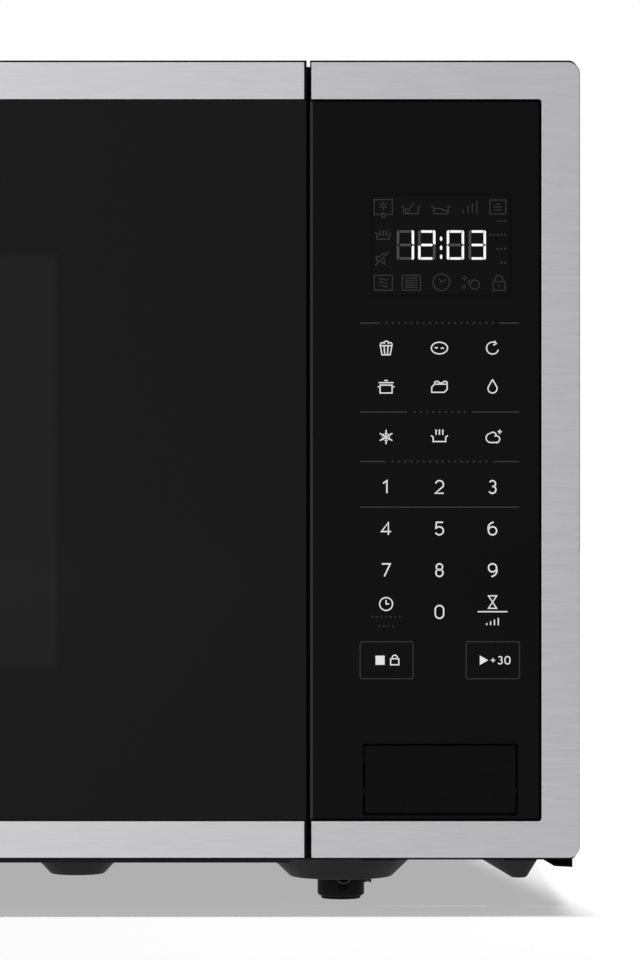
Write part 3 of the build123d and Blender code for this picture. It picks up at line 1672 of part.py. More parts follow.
def bulge(inset, start_depth, end_depth, mode):
    """Tapered rectangular bulge of the rear panel, moved in by an inset."""
    with BuildSketch(facing(start_depth)) as wide:
        with Locations((sum(bulge_start_x) / 2, sum(bulge_start_z) / 2)):
            RectangleRounded(
                bulge_start_x[1] - bulge_start_x[0] - 2 * inset,
                bulge_start_z[1] - bulge_start_z[0] - 2 * inset,
                14 - inset,
            )
    with BuildSketch(facing(end_depth)) as narrow:
        with Locations((sum(bulge_end_x) / 2, sum(bulge_end_z) / 2)):
            RectangleRounded(
                bulge_end_x[1] - bulge_end_x[0] - 2 * inset,
                bulge_end_z[1] - bulge_end_z[0] - 2 * inset,
                12 - inset,
            )
    loft([wide.sketch, narrow.sketch], mode=mode)


with BuildPart() as rear_panel:
    with BuildSketch(facing(rear_plate_front)) as outline:
        area((-rear_half, rear_half), rear_z)
        fillet(outline.vertices().group_by(Axis.Y)[-1], plate_corner)
    extrude(amount=-sheet)
    for x, z in rear_screw_places:
        rod((x, y_at(rear_plate_front - 1), z), REAR, screw_radius + 0.1, 3, Mode.SUBTRACT)
    bulge(0, rear_plate_front, bulge_end_depth, Mode.ADD)
    bulge(sheet, rear_plate_front, bulge_end_depth - sheet, Mode.SUBTRACT)
    with BuildSketch(facing(rear_plate_front - 1)):
        with Locations((fan_x, fan_z)):
            for ring_radius in (14.0, 22.0, 30.0, 38.0, 46.0):
                slots = int(ring_radius / 4) + 2
                with PolarLocations(ring_radius, slots):
                    SlotOverall(0.62 * 2 * pi * ring_radius / slots, 3.0, rotation=90)
        with Locations((fan_x, fan_z - 110)):
            with GridLocations(vent_pitch, vent_slot_length + 6, 10, 2):
                SlotOverall(vent_slot_length, vent_slot_width, rotation=90)
    extrude(amount=-sheet - 2, mode=Mode.SUBTRACT)
    rod(
        (gland_place[0], y_at(rear_plate_front - 1), gland_place[1]),
        REAR,
        gland_hole_radius + 0.1,
        sheet + 2,
        Mode.SUBTRACT,
    )
rear_panel.part.label = "rear_panel"
export_step(rear_panel.part, "parts/rear_panel.step")

# Gland that the supply cord leaves through
gland_bore = 4.2
with BuildPart() as cord_gland:
    gland_centre = (gland_place[0], y_at(rear_plate_back + touch), gland_place[1])
    gland_inside = (gland_place[0], y_at(rear_plate_front - touch), gland_place[1])
    rod(gland_centre, REAR, gland_hole_radius + 3, 2.5)
    rod(gland_centre, REAR, gland_hole_radius - 2, 10)
    rod(gland_inside, REAR, gland_hole_radius, sheet + 1)
    rod(gland_inside, FORWARD, gland_hole_radius + 2, 4)
    rod((gland_place[0], y_at(rear_plate_front - 6), gland_place[1]), REAR, gland_bore, 30, Mode.SUBTRACT)
cord_gland.part.label = "cord_gland"
export_step(cord_gland.part, "parts/cord_gland.step")

# Moulded latch body behind the front plate: catches of both hooks and ears of the lever
latch_front = plate_back + touch
latch_x = (hook_x[0] - 8, hook_slot_x[1] + 9)
latch_z = (hook_levels[0] - 26, hook_levels[1] + 26)
catch_front = hook_tip_depth - hook_barb_length - pass_gap - catch_thickness
latch_side_x = (latch_x[0], latch_x[0] + latch_plate)
drop_x = about(post_x, 7.0)
ear_x = (
    (latch_x[1] - 2, latch_x[1] - 2 + lever_ear),
    (drop_x[1] + 1.2, drop_x[1] + 1.2 + lever_ear),
)
ear_depth = (latch_front, lever_axis_depth + 9.5)
ear_z = about(lever_axis_z, 14.0)
lever_y = y_at(lever_axis_depth)
with BuildPart() as latch_body:
    block(latch_x, deep(latch_front, latch_front + latch_plate), latch_z)
    block(latch_side_x, deep(latch_front, latch_back), latch_z)
    for level in hook_levels:
        block(hook_slot_x, deep(latch_front - 1, latch_front + latch_plate + 1), hook_slot_z(level), Mode.SUBTRACT)
    for level in hook_levels:
        catch_top = level - hook_arm / 2 - pass_gap
        block(
            (latch_side_x[0], hook_x[1] + 2),
            deep(catch_front, catch_front + catch_thickness),
            (catch_top - 10, catch_top),
        )
    block((ear_x[0][0], ear_x[1][1]), deep(ear_depth[1] - 2.5, ear_depth[1]), ear_z)
    for limits in ear_x:
        block(limits, deep(*ear_depth), ear_z)
        rod(
            (limits[0] - 1, lever_y, lever_axis_z),
            RIGHT,
            lever_shaft_radius + running,
            lever_ear + 2,
            Mode.SUBTRACT,
        )
latch_body.part.label = "latch_body"
export_step(latch_body.part, "parts/latch_body.step")

# Three switches that the hooks work
switch_front = hook_tip_depth + 2.5
switch_x = (latch_side_x[1] + touch, latch_side_x[1] + touch + switch_width)
switch_bottoms = (
    hook_levels[0] - 6,
    hook_levels[0] + 26,
    hook_levels[1] - 6,
)
with BuildPart() as door_switches:
    for bottom in switch_bottoms:
        block(switch_x, deep(switch_front, switch_front + switch_depth), (bottom, bottom + switch_length - 6))
        block(
            about(sum(switch_x) / 2, 3.0),
            deep(switch_front - 1.6, switch_front + 1),
            (bottom + 4, bottom + 7),
        )
        for shift in (2.0, 10.0, 18.0):
            block(
                about(sum(switch_x) / 2, 6.3),
                deep(switch_front + switch_depth - 1, switch_front + switch_depth + 8),
                (bottom + shift, bottom + shift + 0.8),
            )
door_switches.part.label = "door_switches"
export_step(door_switches.part, "parts/door_switches.step")

# Lever between the release key and the hooks: a shaft with a drop arm and a lifting finger
finger_arm_x = (ear_x[0][0] - 5.2, ear_x[0][0] - 1.2)
finger_y = y_at(lever_axis_depth + lever_finger_reach)


def lever_arm(x, end, end_radius):
    """Arm of the lever from its shaft to a rounded end, between two X limits."""
    with BuildSketch(Plane.YZ.offset(x[0])) as arm:
        with Locations((lever_y, lever_axis_z)):
            Circle(lever_shaft_radius)
        with Locations(end):
            Circle(end_radius)
        make_hull()
    extrude(arm.sketch, amount=x[1] - x[0])


with BuildPart() as open_lever:
    rod(
        (finger_arm_x[0], lever_y, lever_axis_z),
        RIGHT,
        lever_shaft_radius,
        ear_x[1][1] + 1 - finger_arm_x[0],
    )
    lever_arm(drop_x, (lever_y, lever_axis_z - lever_drop), lever_arm_width / 2)
    lever_arm(finger_arm_x, (finger_y, finger_z), lever_finger_radius)
    rod(
        (hook_x[0] - 0.5, finger_y, finger_z),
        RIGHT,
        lever_finger_radius,
        finger_arm_x[1] - hook_x[0] + 0.5,
    )
open_lever.part.label = "open_lever"
export_step(open_lever.part, "parts/open_lever.step")

# Oven lamp beside the cavity
lamp_y = y_at(lamp_place[0])
socket_x = (works_left + 34.0, works_left + 58.0)
with BuildPart() as lamp_socket:
    rod((socket_x[0], lamp_y, lamp_place[1]), RIGHT, 11.0, socket_x[1] - socket_x[0])
    rod((socket_x[0] - 1, lamp_y, lamp_place[1]), RIGHT, 7.2, 15, Mode.SUBTRACT)
    block(
        (works_left, works_left + 1.0),
        about(lamp_y, 30.0),
        (lamp_place[1] - 22, lamp_place[1] - 13),
    )
    block(
        (works_left, socket_x[1]),
        about(lamp_y, 14.0),
        (lamp_place[1] - 14, lamp_place[1] - 10.5),
    )
lamp_socket.part.label = "lamp_socket"
export_step(lamp_socket.part, "parts/lamp_socket.step")

with BuildPart() as lamp_bulb:
    with BuildSketch(Plane(origin=(works_left, lamp_y, lamp_place[1]), x_dir=RIGHT, z_dir=FORWARD)):
        with BuildLine():
            Line((3, 0), (46, 0))
            Line((46, 0), (46, 6.9))
            Line((46, 6.9), (32, 6.9))
            Spline((32, 6.9), (18, 9), (3, 0), tangents=((-1, 0.1), (0, -1)))
        make_face()
    revolve(axis=Axis((works_left, lamp_y, lamp_place[1]), RIGHT))
lamp_bulb.part.label = "lamp_bulb"
export_step(lamp_bulb.part, "parts/lamp_bulb.step")

# Supply filter board with its choke, under the top of the cabinet
supply_x = (works_left + 12.0, works_left + 92.0)
supply_depth = (shroud_front - 70.0, shroud_front - 4.0)
supply_z = plate_z[1] - 26.0
with BuildPart() as noise_filter_board:
    block(supply_x, deep(*supply_depth), (supply_z, supply_z + board_thickness))
    block(
        (supply_x[0] + 10, supply_x[0] + 38),
        deep(supply_depth[0] + 12, supply_depth[0] + 38),
        (supply_z - 18, supply_z),
    )
    rod((supply_x[1] - 16, y_at(supply_depth[0] + 22), supply_z), DOWN, 8.0, 12.0)
    block(
        (works_left, works_left + 1.2),
        deep(supply_depth[0] + 10, supply_depth[1] - 10),
        (wall_z[1] - 24, supply_z + board_thickness),
    )
    block(
        (works_left, supply_x[0] + 1),
        deep(supply_depth[0] + 10, supply_depth[1] - 10),
        (supply_z, supply_z + board_thickness),
    )
noise_filter_board.part.label = "noise_filter_board"
export_step(noise_filter_board.part, "parts/noise_filter_board.step")

# Identical screws of the feet, the hinges and the rear of the wrapper
with BuildPart() as screws:
    for x, depth in foot_places:
        screw((x, y_at(depth), screw_pocket - touch), UP)
    for x, z in hinge_screw_points:
        screw((x, y_at(plate_depth - touch), z), REAR)
    for x, z in rear_screw_places:
        screw((x, y_at(cabinet_back + touch), z), FORWARD)
screws.part.label = "screws"
export_step(screws.part, "parts/screws.step")
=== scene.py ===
from math import cos, pi, radians, sin

import bmesh
import bpy
from mathutils import Matrix, Vector


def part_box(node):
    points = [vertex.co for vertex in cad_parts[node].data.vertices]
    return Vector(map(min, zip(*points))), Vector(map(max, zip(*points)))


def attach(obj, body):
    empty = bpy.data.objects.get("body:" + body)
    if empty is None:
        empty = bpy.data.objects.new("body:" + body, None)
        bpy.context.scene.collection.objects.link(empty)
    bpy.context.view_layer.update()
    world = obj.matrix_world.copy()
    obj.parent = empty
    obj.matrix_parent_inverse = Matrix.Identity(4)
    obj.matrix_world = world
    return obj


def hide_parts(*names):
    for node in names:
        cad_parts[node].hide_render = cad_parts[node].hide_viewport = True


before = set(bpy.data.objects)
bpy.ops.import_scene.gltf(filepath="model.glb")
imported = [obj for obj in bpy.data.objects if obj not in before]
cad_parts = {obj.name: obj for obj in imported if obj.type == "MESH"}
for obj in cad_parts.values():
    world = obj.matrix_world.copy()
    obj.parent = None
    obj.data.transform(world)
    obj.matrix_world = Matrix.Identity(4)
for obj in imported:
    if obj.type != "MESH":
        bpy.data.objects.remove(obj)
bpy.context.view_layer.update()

# Camera: a long lens straight in front of the right half of the oven, level with its middle,
# so that the left part of the door runs out of the picture as it does in the photograph.
mm = 0.001
picture_middle_x = 197.3 * mm
picture_middle_z = 181.2 * mm
camera_distance = 1800 * mm
lens_length = 162.26
sensor_side = 36
front_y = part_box("door_trim")[0].y
camera_data = bpy.data.cameras.new("camera")
camera_data.lens = lens_length
camera_data.sensor_width = sensor_side
camera = bpy.data.objects.new("camera", camera_data)
camera.location = (picture_middle_x, front_y - camera_distance, picture_middle_z)
camera.rotation_euler = (radians(90), 0, 0)
bpy.context.collection.objects.link(camera)
bpy.context.scene.camera = camera
bpy.context.scene.view_settings.view_transform = "Standard"

# Studio: a white room with a large soft panel to the left of the camera, which brushed steel
# and glass mirror. A strip lamp overhead lights the floor alone, so that the oven's short
# shadow falls on it while the oven itself keeps the room's plain light.
room_light = 0.78
panel_left_light = 1.58
panel_right_light = 0.5
panel_reach = 0.3
strip_power = 150
strip_size = (1.15, 0.012)
strip_place = (0.32, -0.2295, 1.5)
world = bpy.data.worlds.new("studio")
bpy.context.scene.world = world
world.use_nodes = True
white = (1, 1, 1, 1)
room = world.node_tree
room.nodes.clear()
rays = room.nodes.new("ShaderNodeLightPath")
mirrored_or_seen = room.nodes.new("ShaderNodeMath")
white_for = room.nodes.new("ShaderNodeMath")
mirrored_or_seen.operation = white_for.operation = "MAXIMUM"
room.links.new(rays.outputs["Is Camera Ray"], white_for.inputs[0])
room.links.new(rays.outputs["Is Transmission Ray"], white_for.inputs[1])
room.links.new(white_for.outputs[0], mirrored_or_seen.inputs[0])
room.links.new(rays.outputs["Is Glossy Ray"], mirrored_or_seen.inputs[1])
direction = room.nodes.new("ShaderNodeTexCoord")
sideways = room.nodes.new("ShaderNodeSeparateXYZ")
room.links.new(direction.outputs["Generated"], sideways.inputs[0])
panel = room.nodes.new("ShaderNodeMapRange")
panel.interpolation_type = "SMOOTHSTEP"
panel.inputs["From Min"].default_value = -panel_reach
panel.inputs["From Max"].default_value = panel_reach
panel.inputs["To Min"].default_value = panel_left_light
panel.inputs["To Max"].default_value = panel_right_light
room.links.new(sideways.outputs["X"], panel.inputs["Value"])
seen_light = room.nodes.new("ShaderNodeMix")
seen_light.data_type = "FLOAT"
seen_light.inputs["B"].default_value = 1.0
room.links.new(white_for.outputs[0], seen_light.inputs["Factor"])
room.links.new(panel.outputs["Result"], seen_light.inputs["A"])
seen = room.nodes.new("ShaderNodeBackground")
seen.inputs["Color"].default_value = white
room.links.new(seen_light.outputs["Result"], seen.inputs["Strength"])
soft = room.nodes.new("ShaderNodeBackground")
soft.inputs["Color"].default_value = white
soft.inputs["Strength"].default_value = room_light
either = room.nodes.new("ShaderNodeMixShader")
room.links.new(mirrored_or_seen.outputs[0], either.inputs["Fac"])
room.links.new(soft.outputs[0], either.inputs[1])
room.links.new(seen.outputs[0], either.inputs[2])
room.links.new(either.outputs[0], room.nodes.new("ShaderNodeOutputWorld").inputs["Surface"])
strip_data = bpy.data.lights.new("overhead_strip", "AREA")
strip_data.shape = "RECTANGLE"
strip_data.size, strip_data.size_y = strip_size
strip_data.energy = strip_power
strip = bpy.data.objects.new("overhead_strip", strip_data)
strip.location = strip_place
strip.visible_glossy = False
bpy.context.collection.objects.link(strip)
lit_by_strip = bpy.data.collections.new("lit_by_strip")
strip.light_linking.receiver_collection = lit_by_strip

# Floor: a white studio sheet that burns out to white in the picture and keeps the grey shadow of the
# oven that the strip lamp casts; beside the oven its glow rises along a slanted band, a painted shadow
# edge. Steel and glass mirror it as a paler left and a dimmer right, like the walls. It is scenery and
# no part of the object.
floor_half = 9.0
floor_glow = 0.432
floor_tone = 0.084
floor_soft = 0.8
painted_shadow_lift = 0.45
painted_shadow_edge = (0.3005, 0.3285)
painted_shadow_lean = 0.15
white_beyond = (0.42, 0.8)
mirrored_left = (-0.5, 1.62)
mirrored_right = (0.9, 0.42)
floor_mesh = bpy.data.meshes.new("studio_floor")
floor_corners = [(-floor_half, -floor_half, 0), (floor_half, -floor_half, 0),
                 (floor_half, floor_half, 0), (-floor_half, floor_half, 0)]
floor_mesh.from_pydata(floor_corners, [], [(0, 1, 2, 3)])
floor = bpy.data.objects.new("studio_floor", floor_mesh)
bpy.context.collection.objects.link(floor)
lit_by_strip.objects.link(floor)
floor_paint = bpy.data.materials.new("studio_paper")
floor_paint.use_nodes = True
paper = floor_paint.node_tree
paper.nodes.clear()
spot = paper.nodes.new("ShaderNodeSeparateXYZ")
paper.links.new(paper.nodes.new("ShaderNodeTexCoord").outputs["Object"], spot.inputs[0])


def paper_math(operation, first, second=None):
    """Arithmetic on values of the floor's paint."""
    step = paper.nodes.new("ShaderNodeMath")
    step.operation = operation
    paper.links.new(first, step.inputs[0])
    if second:
        paper.links.new(second, step.inputs[1])
    return step.outputs[0]


def paper_ramp(value, start, end, low=0.0, high=1.0, kind="SMOOTHSTEP"):
    """Even or eased change of a value of the floor's paint between two places."""
    ramp = paper.nodes.new("ShaderNodeMapRange")
    ramp.interpolation_type = kind
    limits = {"From Min": start, "From Max": end, "To Min": low, "To Max": high}
    for socket, limit in limits.items():
        ramp.inputs[socket].default_value = limit
    paper.links.new(value, ramp.inputs["Value"])
    return ramp.outputs["Result"]


sideways_out = paper_math("ABSOLUTE", spot.outputs["X"])
# Painted shadow edge: beside the oven the floor's glow rises over a band that slants inward toward the
# back, giving the shadow's soft side edge.
leaning = paper_ramp(spot.outputs["Y"], front_y, 0.0, 0.0, -painted_shadow_lean * front_y, "LINEAR")
beside = paper_ramp(paper_math("ADD", sideways_out, leaning), *painted_shadow_edge, 0.0, painted_shadow_lift)
farther = paper_math("MAXIMUM", sideways_out, paper_math("ABSOLUTE", spot.outputs["Y"]))
far_off = paper_ramp(farther, *white_beyond)
paper_glow = paper.nodes.new("ShaderNodeEmission")
glow = paper_ramp(paper_math("ADD", beside, far_off), 0.0, 1.0, floor_glow, floor_glow + 1.0,
                  "LINEAR")
paper.links.new(glow, paper_glow.inputs["Strength"])
paper_shade = paper.nodes.new("ShaderNodeBsdfDiffuse")
paper_shade.inputs["Color"].default_value = (floor_tone, floor_tone, floor_tone, 1)
paper_sum = paper.nodes.new("ShaderNodeAddShader")
paper.links.new(paper_glow.outputs[0], paper_sum.inputs[0])
paper.links.new(paper_shade.outputs[0], paper_sum.inputs[1])
paper_soft = paper.nodes.new("ShaderNodeEmission")
paper_soft.inputs["Strength"].default_value = floor_soft
paper_mirror = paper.nodes.new("ShaderNodeEmission")
mirrored = paper_ramp(spot.outputs["X"], mirrored_left[0], mirrored_right[0],
                      mirrored_left[1], mirrored_right[1], "LINEAR")
paper.links.new(mirrored, paper_mirror.inputs["Strength"])
paper_rays = paper.nodes.new("ShaderNodeLightPath")
looked_at = paper_math("MAXIMUM", paper_rays.outputs["Is Camera Ray"],
                       paper_rays.outputs["Is Transmission Ray"])
surface = paper_soft.outputs[0]
for ray, light in ((paper_rays.outputs["Is Glossy Ray"], paper_mirror), (looked_at, paper_sum)):
    choice = paper.nodes.new("ShaderNodeMixShader")
    paper.links.new(ray, choice.inputs["Fac"])
    paper.links.new(surface, choice.inputs[1])
    paper.links.new(light.outputs[0], choice.inputs[2])
    surface = choice.outputs[0]
paper.links.new(surface, paper.nodes.new("ShaderNodeOutputMaterial").inputs["Surface"])
floor_mesh.materials.append(floor_paint)

# Base plate: sheet steel, pressed into cups for the feet and stiffeners, with black enamel.
# The enamel has a fine orange peel that dulls it.
noise_low, noise_high = 0.3, 0.7
relief_strength = 0.6
relief_detail = 2.0


def finish(name, dark, light, grain, roughness, roughness_spread=0.05, relief=0.0,
           relief_grain=None, metallic=0.0, detail=3.0, **sockets):
    """Surface whose colour, roughness and relief follow a noise laid along the piece.
    The grain is the noise's fineness per metre on each axis."""
    material = bpy.data.materials.new(name)
    material.use_nodes = True
    tree = material.node_tree
    shader = tree.nodes["Principled BSDF"]
    place = tree.nodes.new("ShaderNodeTexCoord")

    def noise_along(fineness, depth):
        stretch = tree.nodes.new("ShaderNodeMapping")
        stretch.inputs["Scale"].default_value = fineness
        tree.links.new(place.outputs["Object"], stretch.inputs["Vector"])
        pattern = tree.nodes.new("ShaderNodeTexNoise")
        pattern.inputs["Scale"].default_value = 1.0
        pattern.inputs["Detail"].default_value = depth
        tree.links.new(stretch.outputs["Vector"], pattern.inputs["Vector"])
        return pattern.outputs["Fac"]

    level = noise_along(grain, detail)
    tone = tree.nodes.new("ShaderNodeValToRGB")
    stops = zip(tone.color_ramp.elements, (noise_low, noise_high), (dark, light))
    for stop, position, colour in stops:
        stop.position = position
        stop.color = (*colour, 1)
    tree.links.new(level, tone.inputs["Fac"])
    tree.links.new(tone.outputs["Color"], shader.inputs["Base Color"])
    wear = tree.nodes.new("ShaderNodeMapRange")
    wear.inputs["From Min"].default_value = noise_low
    wear.inputs["From Max"].default_value = noise_high
    wear.inputs["To Min"].default_value = roughness - roughness_spread
    wear.inputs["To Max"].default_value = roughness + roughness_spread
    tree.links.new(level, wear.inputs["Value"])
    tree.links.new(wear.outputs["Result"], shader.inputs["Roughness"])
    if relief:
        bump = tree.nodes.new("ShaderNodeBump")
        bump.inputs["Strength"].default_value = relief_strength
        bump.inputs["Distance"].default_value = relief
        hills = noise_along(relief_grain or grain, relief_detail)
        tree.links.new(hills, bump.inputs["Height"])
        tree.links.new(bump.outputs["Normal"], shader.inputs["Normal"])
    shader.inputs["Metallic"].default_value = metallic
    for socket, value in sockets.items():
        shader.inputs[socket.replace("_", " ")].default_value = value
    return material


def grey(level):
    """Neutral colour of one brightness."""
    return (level, level, level)


def dress(material, *names):
    """Gives CAD nodes their material."""
    for node in names:
        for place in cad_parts[node].material_slots:
            place.material = material


base_enamel = finish("base_enamel", grey(0.0155), grey(0.0205), grey(140), 0.6,
                     relief=0.05 * mm, relief_grain=grey(900), Specular_IOR_Level=0.05)
dress(base_enamel, "base_plate")

# Feet: four moulded rubber feet, each stepped in at its sole, with a screw up its middle that
# holds it under a cup of the base.


def turned(name, profile, places, steps=64):
    """Closed solid of revolution about an upright line through each place."""
    shape = bmesh.new()
    for x, y in places:
        rings = []
        for step in range(steps):
            turn = 2 * pi * step / steps
            rings.append([shape.verts.new((x + r * cos(turn), y + r * sin(turn), z))
                          for r, z in profile])
        for step in range(steps):
            here, ahead = rings[step], rings[(step + 1) % steps]
            for index in range(len(profile)):
                further = (index + 1) % len(profile)
                shape.faces.new((here[index], ahead[index], ahead[further], here[further]))
    return solid_from(name, shape)


def solid_from(name, shape, smooth_below=radians(35)):
    """Object of a finished bmesh, with its faces turned outward and its round runs smooth."""
    bmesh.ops.recalc_face_normals(shape, faces=shape.faces)
    mesh = bpy.data.meshes.new(name)
    shape.to_mesh(mesh)
    shape.free()
    mesh.shade_smooth()
    mesh.set_sharp_from_angle(angle=smooth_below)
    piece = bpy.data.objects.new(name, mesh)
    bpy.context.collection.objects.link(piece)
    return piece


def fitted(piece, material, body, slot, *replaced):
    """Gives a piece its material and its body, and hides the nodes it stands for. The slot argument is
    not used.
    """
    piece.data.materials.append(material)
    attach(piece, body)
    if replaced:
        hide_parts(*replaced)


def slab(shape, x, y, z):
    """Adds a block between two limits on each axis to a bmesh."""
    size = (x[1] - x[0], y[1] - y[0], z[1] - z[0])
    middle = ((x[0] + x[1]) / 2, (y[0] + y[1]) / 2, (z[0] + z[1]) / 2)
    bmesh.ops.create_cube(shape, size=1,
                          matrix=Matrix.Translation(middle) @ Matrix.Diagonal((*size, 1)))


foot_radius = 10.11 * mm
sole_radius = 8.55 * mm
foot_top = 9.65 * mm
stem_radius = 4.0 * mm
stem_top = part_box("feet")[1].z
screw_hole = 2.1 * mm
screw_pocket = 3.9 * mm
pocket_top = 4.0 * mm
edge_round = 0.3 * mm
foot_profile = [
    (screw_hole, stem_top), (stem_radius, stem_top), (stem_radius, foot_top),
    (foot_radius - edge_round, foot_top), (foot_radius, foot_top - edge_round),
    (foot_radius, 2.3 * mm), (foot_radius - 0.25 * mm, 1.7 * mm), (foot_radius - 0.7 * mm, 1.3 * mm),
    (sole_radius + 0.15 * mm, 1.15 * mm), (sole_radius, 0.95 * mm), (sole_radius, edge_round),
    (sole_radius - edge_round, 0), (screw_pocket + edge_round, 0), (screw_pocket, edge_round),
    (screw_pocket, pocket_top), (screw_hole, pocket_top),
]
foot_x = 206.35 * mm
foot_depths = (77.5 * mm, 410 * mm)
foot_places = [(side * foot_x, front_y + depth) for side in (-1, 1) for depth in foot_depths]
foot_rubber = finish("foot_rubber", grey(0.004), grey(0.009), grey(220), 0.66,
                     relief=0.06 * mm, relief_grain=grey(1500), Specular_IOR_Level=0.05)
foot_set = turned("rubber_feet", foot_profile, foot_places)
fitted(foot_set, foot_rubber, "cabinet", "foot_rubber", "feet")

# Eye and tab of each foot: a raised ring round a blind hole in its front, and a thin toothed tab
# at its right that keeps it from turning in the cup. They are moulded with the foot.
eye_radius = 2.5 * mm
eye_rim = 0.8 * mm
eye_shift = 1.2 * mm
eye_z = 9.95 * mm
eye_proud = 0.4 * mm
eye_depth = 4.0 * mm
rim_start, rim_sweep, rim_steps = 188, 164, 24
tab_half = 2.0 * mm
tab_z = (6.9 * mm, 9.6 * mm)
teeth = 3
tooth_width = 1.2 * mm
tooth_pitch = 1.0 * mm
tooth_drop = 0.35 * mm
tooth_root = 0.1 * mm


def skin(shape, runs):
    """Closes a row of like cross-sections into one solid."""
    for here, ahead in zip(runs, runs[1:]):
        for index in range(len(here)):
            further = (index + 1) % len(here)
            shape.faces.new((here[index], ahead[index], ahead[further], here[further]))
    shape.faces.new(runs[0])
    shape.faces.new(runs[-1])


cutters = bmesh.new()
eyes = bmesh.new()
for x, y in foot_places:
    middle_x = x + eye_shift
    face_y = y - (foot_radius ** 2 - eye_shift ** 2) ** 0.5
    into = Matrix.Translation((middle_x, face_y, eye_z)) @ Matrix.Rotation(radians(90), 4, "X")
    bmesh.ops.create_cone(cutters, cap_ends=True, segments=32, radius1=eye_radius, radius2=eye_radius,
                          depth=2 * eye_depth, matrix=into)
    runs = []
    for step in range(rim_steps + 1):
        turn = radians(rim_start + rim_sweep * step / rim_steps)
        run = []
        for radius, proud in ((eye_radius, 0), (eye_radius, eye_proud),
                              (eye_radius + eye_rim, eye_proud), (eye_radius + eye_rim, -eye_rim)):
            run.append(eyes.verts.new((middle_x + radius * cos(turn), face_y - proud,
                                       eye_z + radius * sin(turn))))
        runs.append(run)
    skin(eyes, runs)
    for tooth in range(teeth):
        left = x + foot_radius - tooth_root + tooth * tooth_pitch
        drop = tooth_drop * (tooth % 2)
        slab(eyes, (left, left + tooth_width), (y - tab_half, y + tab_half), (tab_z[0] + drop, tab_z[1]))
cutter = solid_from("eye_cutter", cutters)
eye_hole = foot_set.modifiers.new("eye_holes", "BOOLEAN")
eye_hole.operation = "DIFFERENCE"
eye_hole.solver = "EXACT"
eye_hole.object = cutter
with_holes = foot_set.evaluated_get(bpy.context.evaluated_depsgraph_get())
bored = bpy.data.meshes.new_from_object(with_holes)
foot_set.modifiers.clear()
foot_set.data = bored
bpy.data.objects.remove(cutter)
eye_rubber = finish("eye_rubber", grey(0.012), grey(0.018), grey(220), 0.5,
                    relief=0.04 * mm, relief_grain=grey(1500), Specular_IOR_Level=0.3)
fitted(solid_from("foot_eyes", eyes), eye_rubber, "cabinet", "foot_rubber")

# Screws: twelve zinc-plated pan heads in the feet, the hinge legs and the rear of the wrapper.
# The plating has a faint cloudy spangle.
zinc_screw = finish("zinc_screw", grey(0.42), grey(0.55), grey(400), 0.36, metallic=1.0,
                    relief=0.02 * mm, relief_grain=grey(2500))
dress(zinc_screw, "screws")

# Oven cavity: folded and welded sheet steel, with grey enamel fired on. The front plate carries
# the same enamel, and the rest of the oven is built around this box.
cavity_enamel = finish("cavity_enamel", grey(0.40), grey(0.46), grey(60), 0.34,
                       relief=0.06 * mm, relief_grain=grey(350), Specular_IOR_Level=0.5)
dress(cavity_enamel, "front_plate", "cavity_wrap", "cavity_floor", "cavity_back")

# Turntable: a motor under the floor, a nylon shaft and coupler, and a moulded ring on rollers.
# The pressed glass tray sits on the rollers and locks into the coupler.
motor_zinc = finish("motor_zinc", grey(0.38), grey(0.5), grey(120), 0.38, metallic=1.0)
nylon = finish("white_nylon", (0.66, 0.65, 0.6), (0.74, 0.73, 0.69), grey(180), 0.48,
               relief=0.03 * mm, relief_grain=grey(1400))
dress(motor_zinc, "turntable_motor")
dress(nylon, "drive_shaft", "drive_coupler", "roller_ring", "roller_1", "roller_2", "roller_3")
pressed_glass = finish("pressed_glass", (0.86, 0.93, 0.9), (0.9, 0.96, 0.93), grey(40), 0.05, 0.02,
                       relief=0.05 * mm, relief_grain=grey(120), Transmission_Weight=0.96, IOR=1.5)
dress(pressed_glass, "glass_tray")

# Microwave supply: the waveguide leads from the magnetron to the port, which a mica sheet
# closes. The magnetron's tube is cooled by thin fins and held by a steel yoke between magnets.
mica = finish("mica", (0.38, 0.31, 0.21), (0.55, 0.47, 0.34), (260, 260, 260), 0.4,
              relief=0.05 * mm, relief_grain=grey(700))
zinc_sheet = finish("zinc_sheet", grey(0.36), grey(0.5), grey(90), 0.4, 0.08, metallic=1.0,
                    relief=0.03 * mm, relief_grain=grey(500))
enamelled_copper = finish("enamelled_copper", (0.42, 0.15, 0.05), (0.56, 0.24, 0.09),
                          (60, 60, 2200), 0.35, metallic=1.0, relief=0.1 * mm)
bare_aluminium = finish("bare_aluminium", grey(0.58), grey(0.7), (60, 60, 900), 0.36, metallic=1.0)
ferrite = finish("ferrite", grey(0.03), grey(0.06), grey(500), 0.7, relief=0.08 * mm)
dress(mica, "waveguide_cover")
dress(zinc_sheet, "waveguide", "magnetron_yoke", "magnetron_filter")
dress(enamelled_copper, "magnetron_tube")
dress(bare_aluminium, "magnetron_fins")
dress(ferrite, "magnetron_magnets")
dress(nylon, "air_duct")

# High-voltage supply: a transformer of varnished laminations with enamelled windings, and an
# oil capacitor in an aluminium can beside it.
core_varnish = finish("core_varnish", (0.05, 0.035, 0.025), (0.1, 0.075, 0.05),
                      (40, 40, 1800), 0.5, relief=0.1 * mm, Specular_IOR_Level=0.4)
dress(core_varnish, "transformer_core")
dress(enamelled_copper, "transformer_windings")
dress(bare_aluminium, "capacitor")

# Cooling fan: a moulded shroud on the rear panel, a shaded-pole motor and a pressed-on blade.
# It blows along the compartment, over the magnetron's fins and into the cavity's vents.
grained_black = finish("grained_black", grey(0.008), grey(0.014), grey(260), 0.5,
                       relief=0.05 * mm, relief_grain=grey(1800), Specular_IOR_Level=0.35)
dress(grained_black, "fan_shroud", "fan_blade")
dress(core_varnish, "fan_motor")
dress(zinc_screw, "fan_shaft")

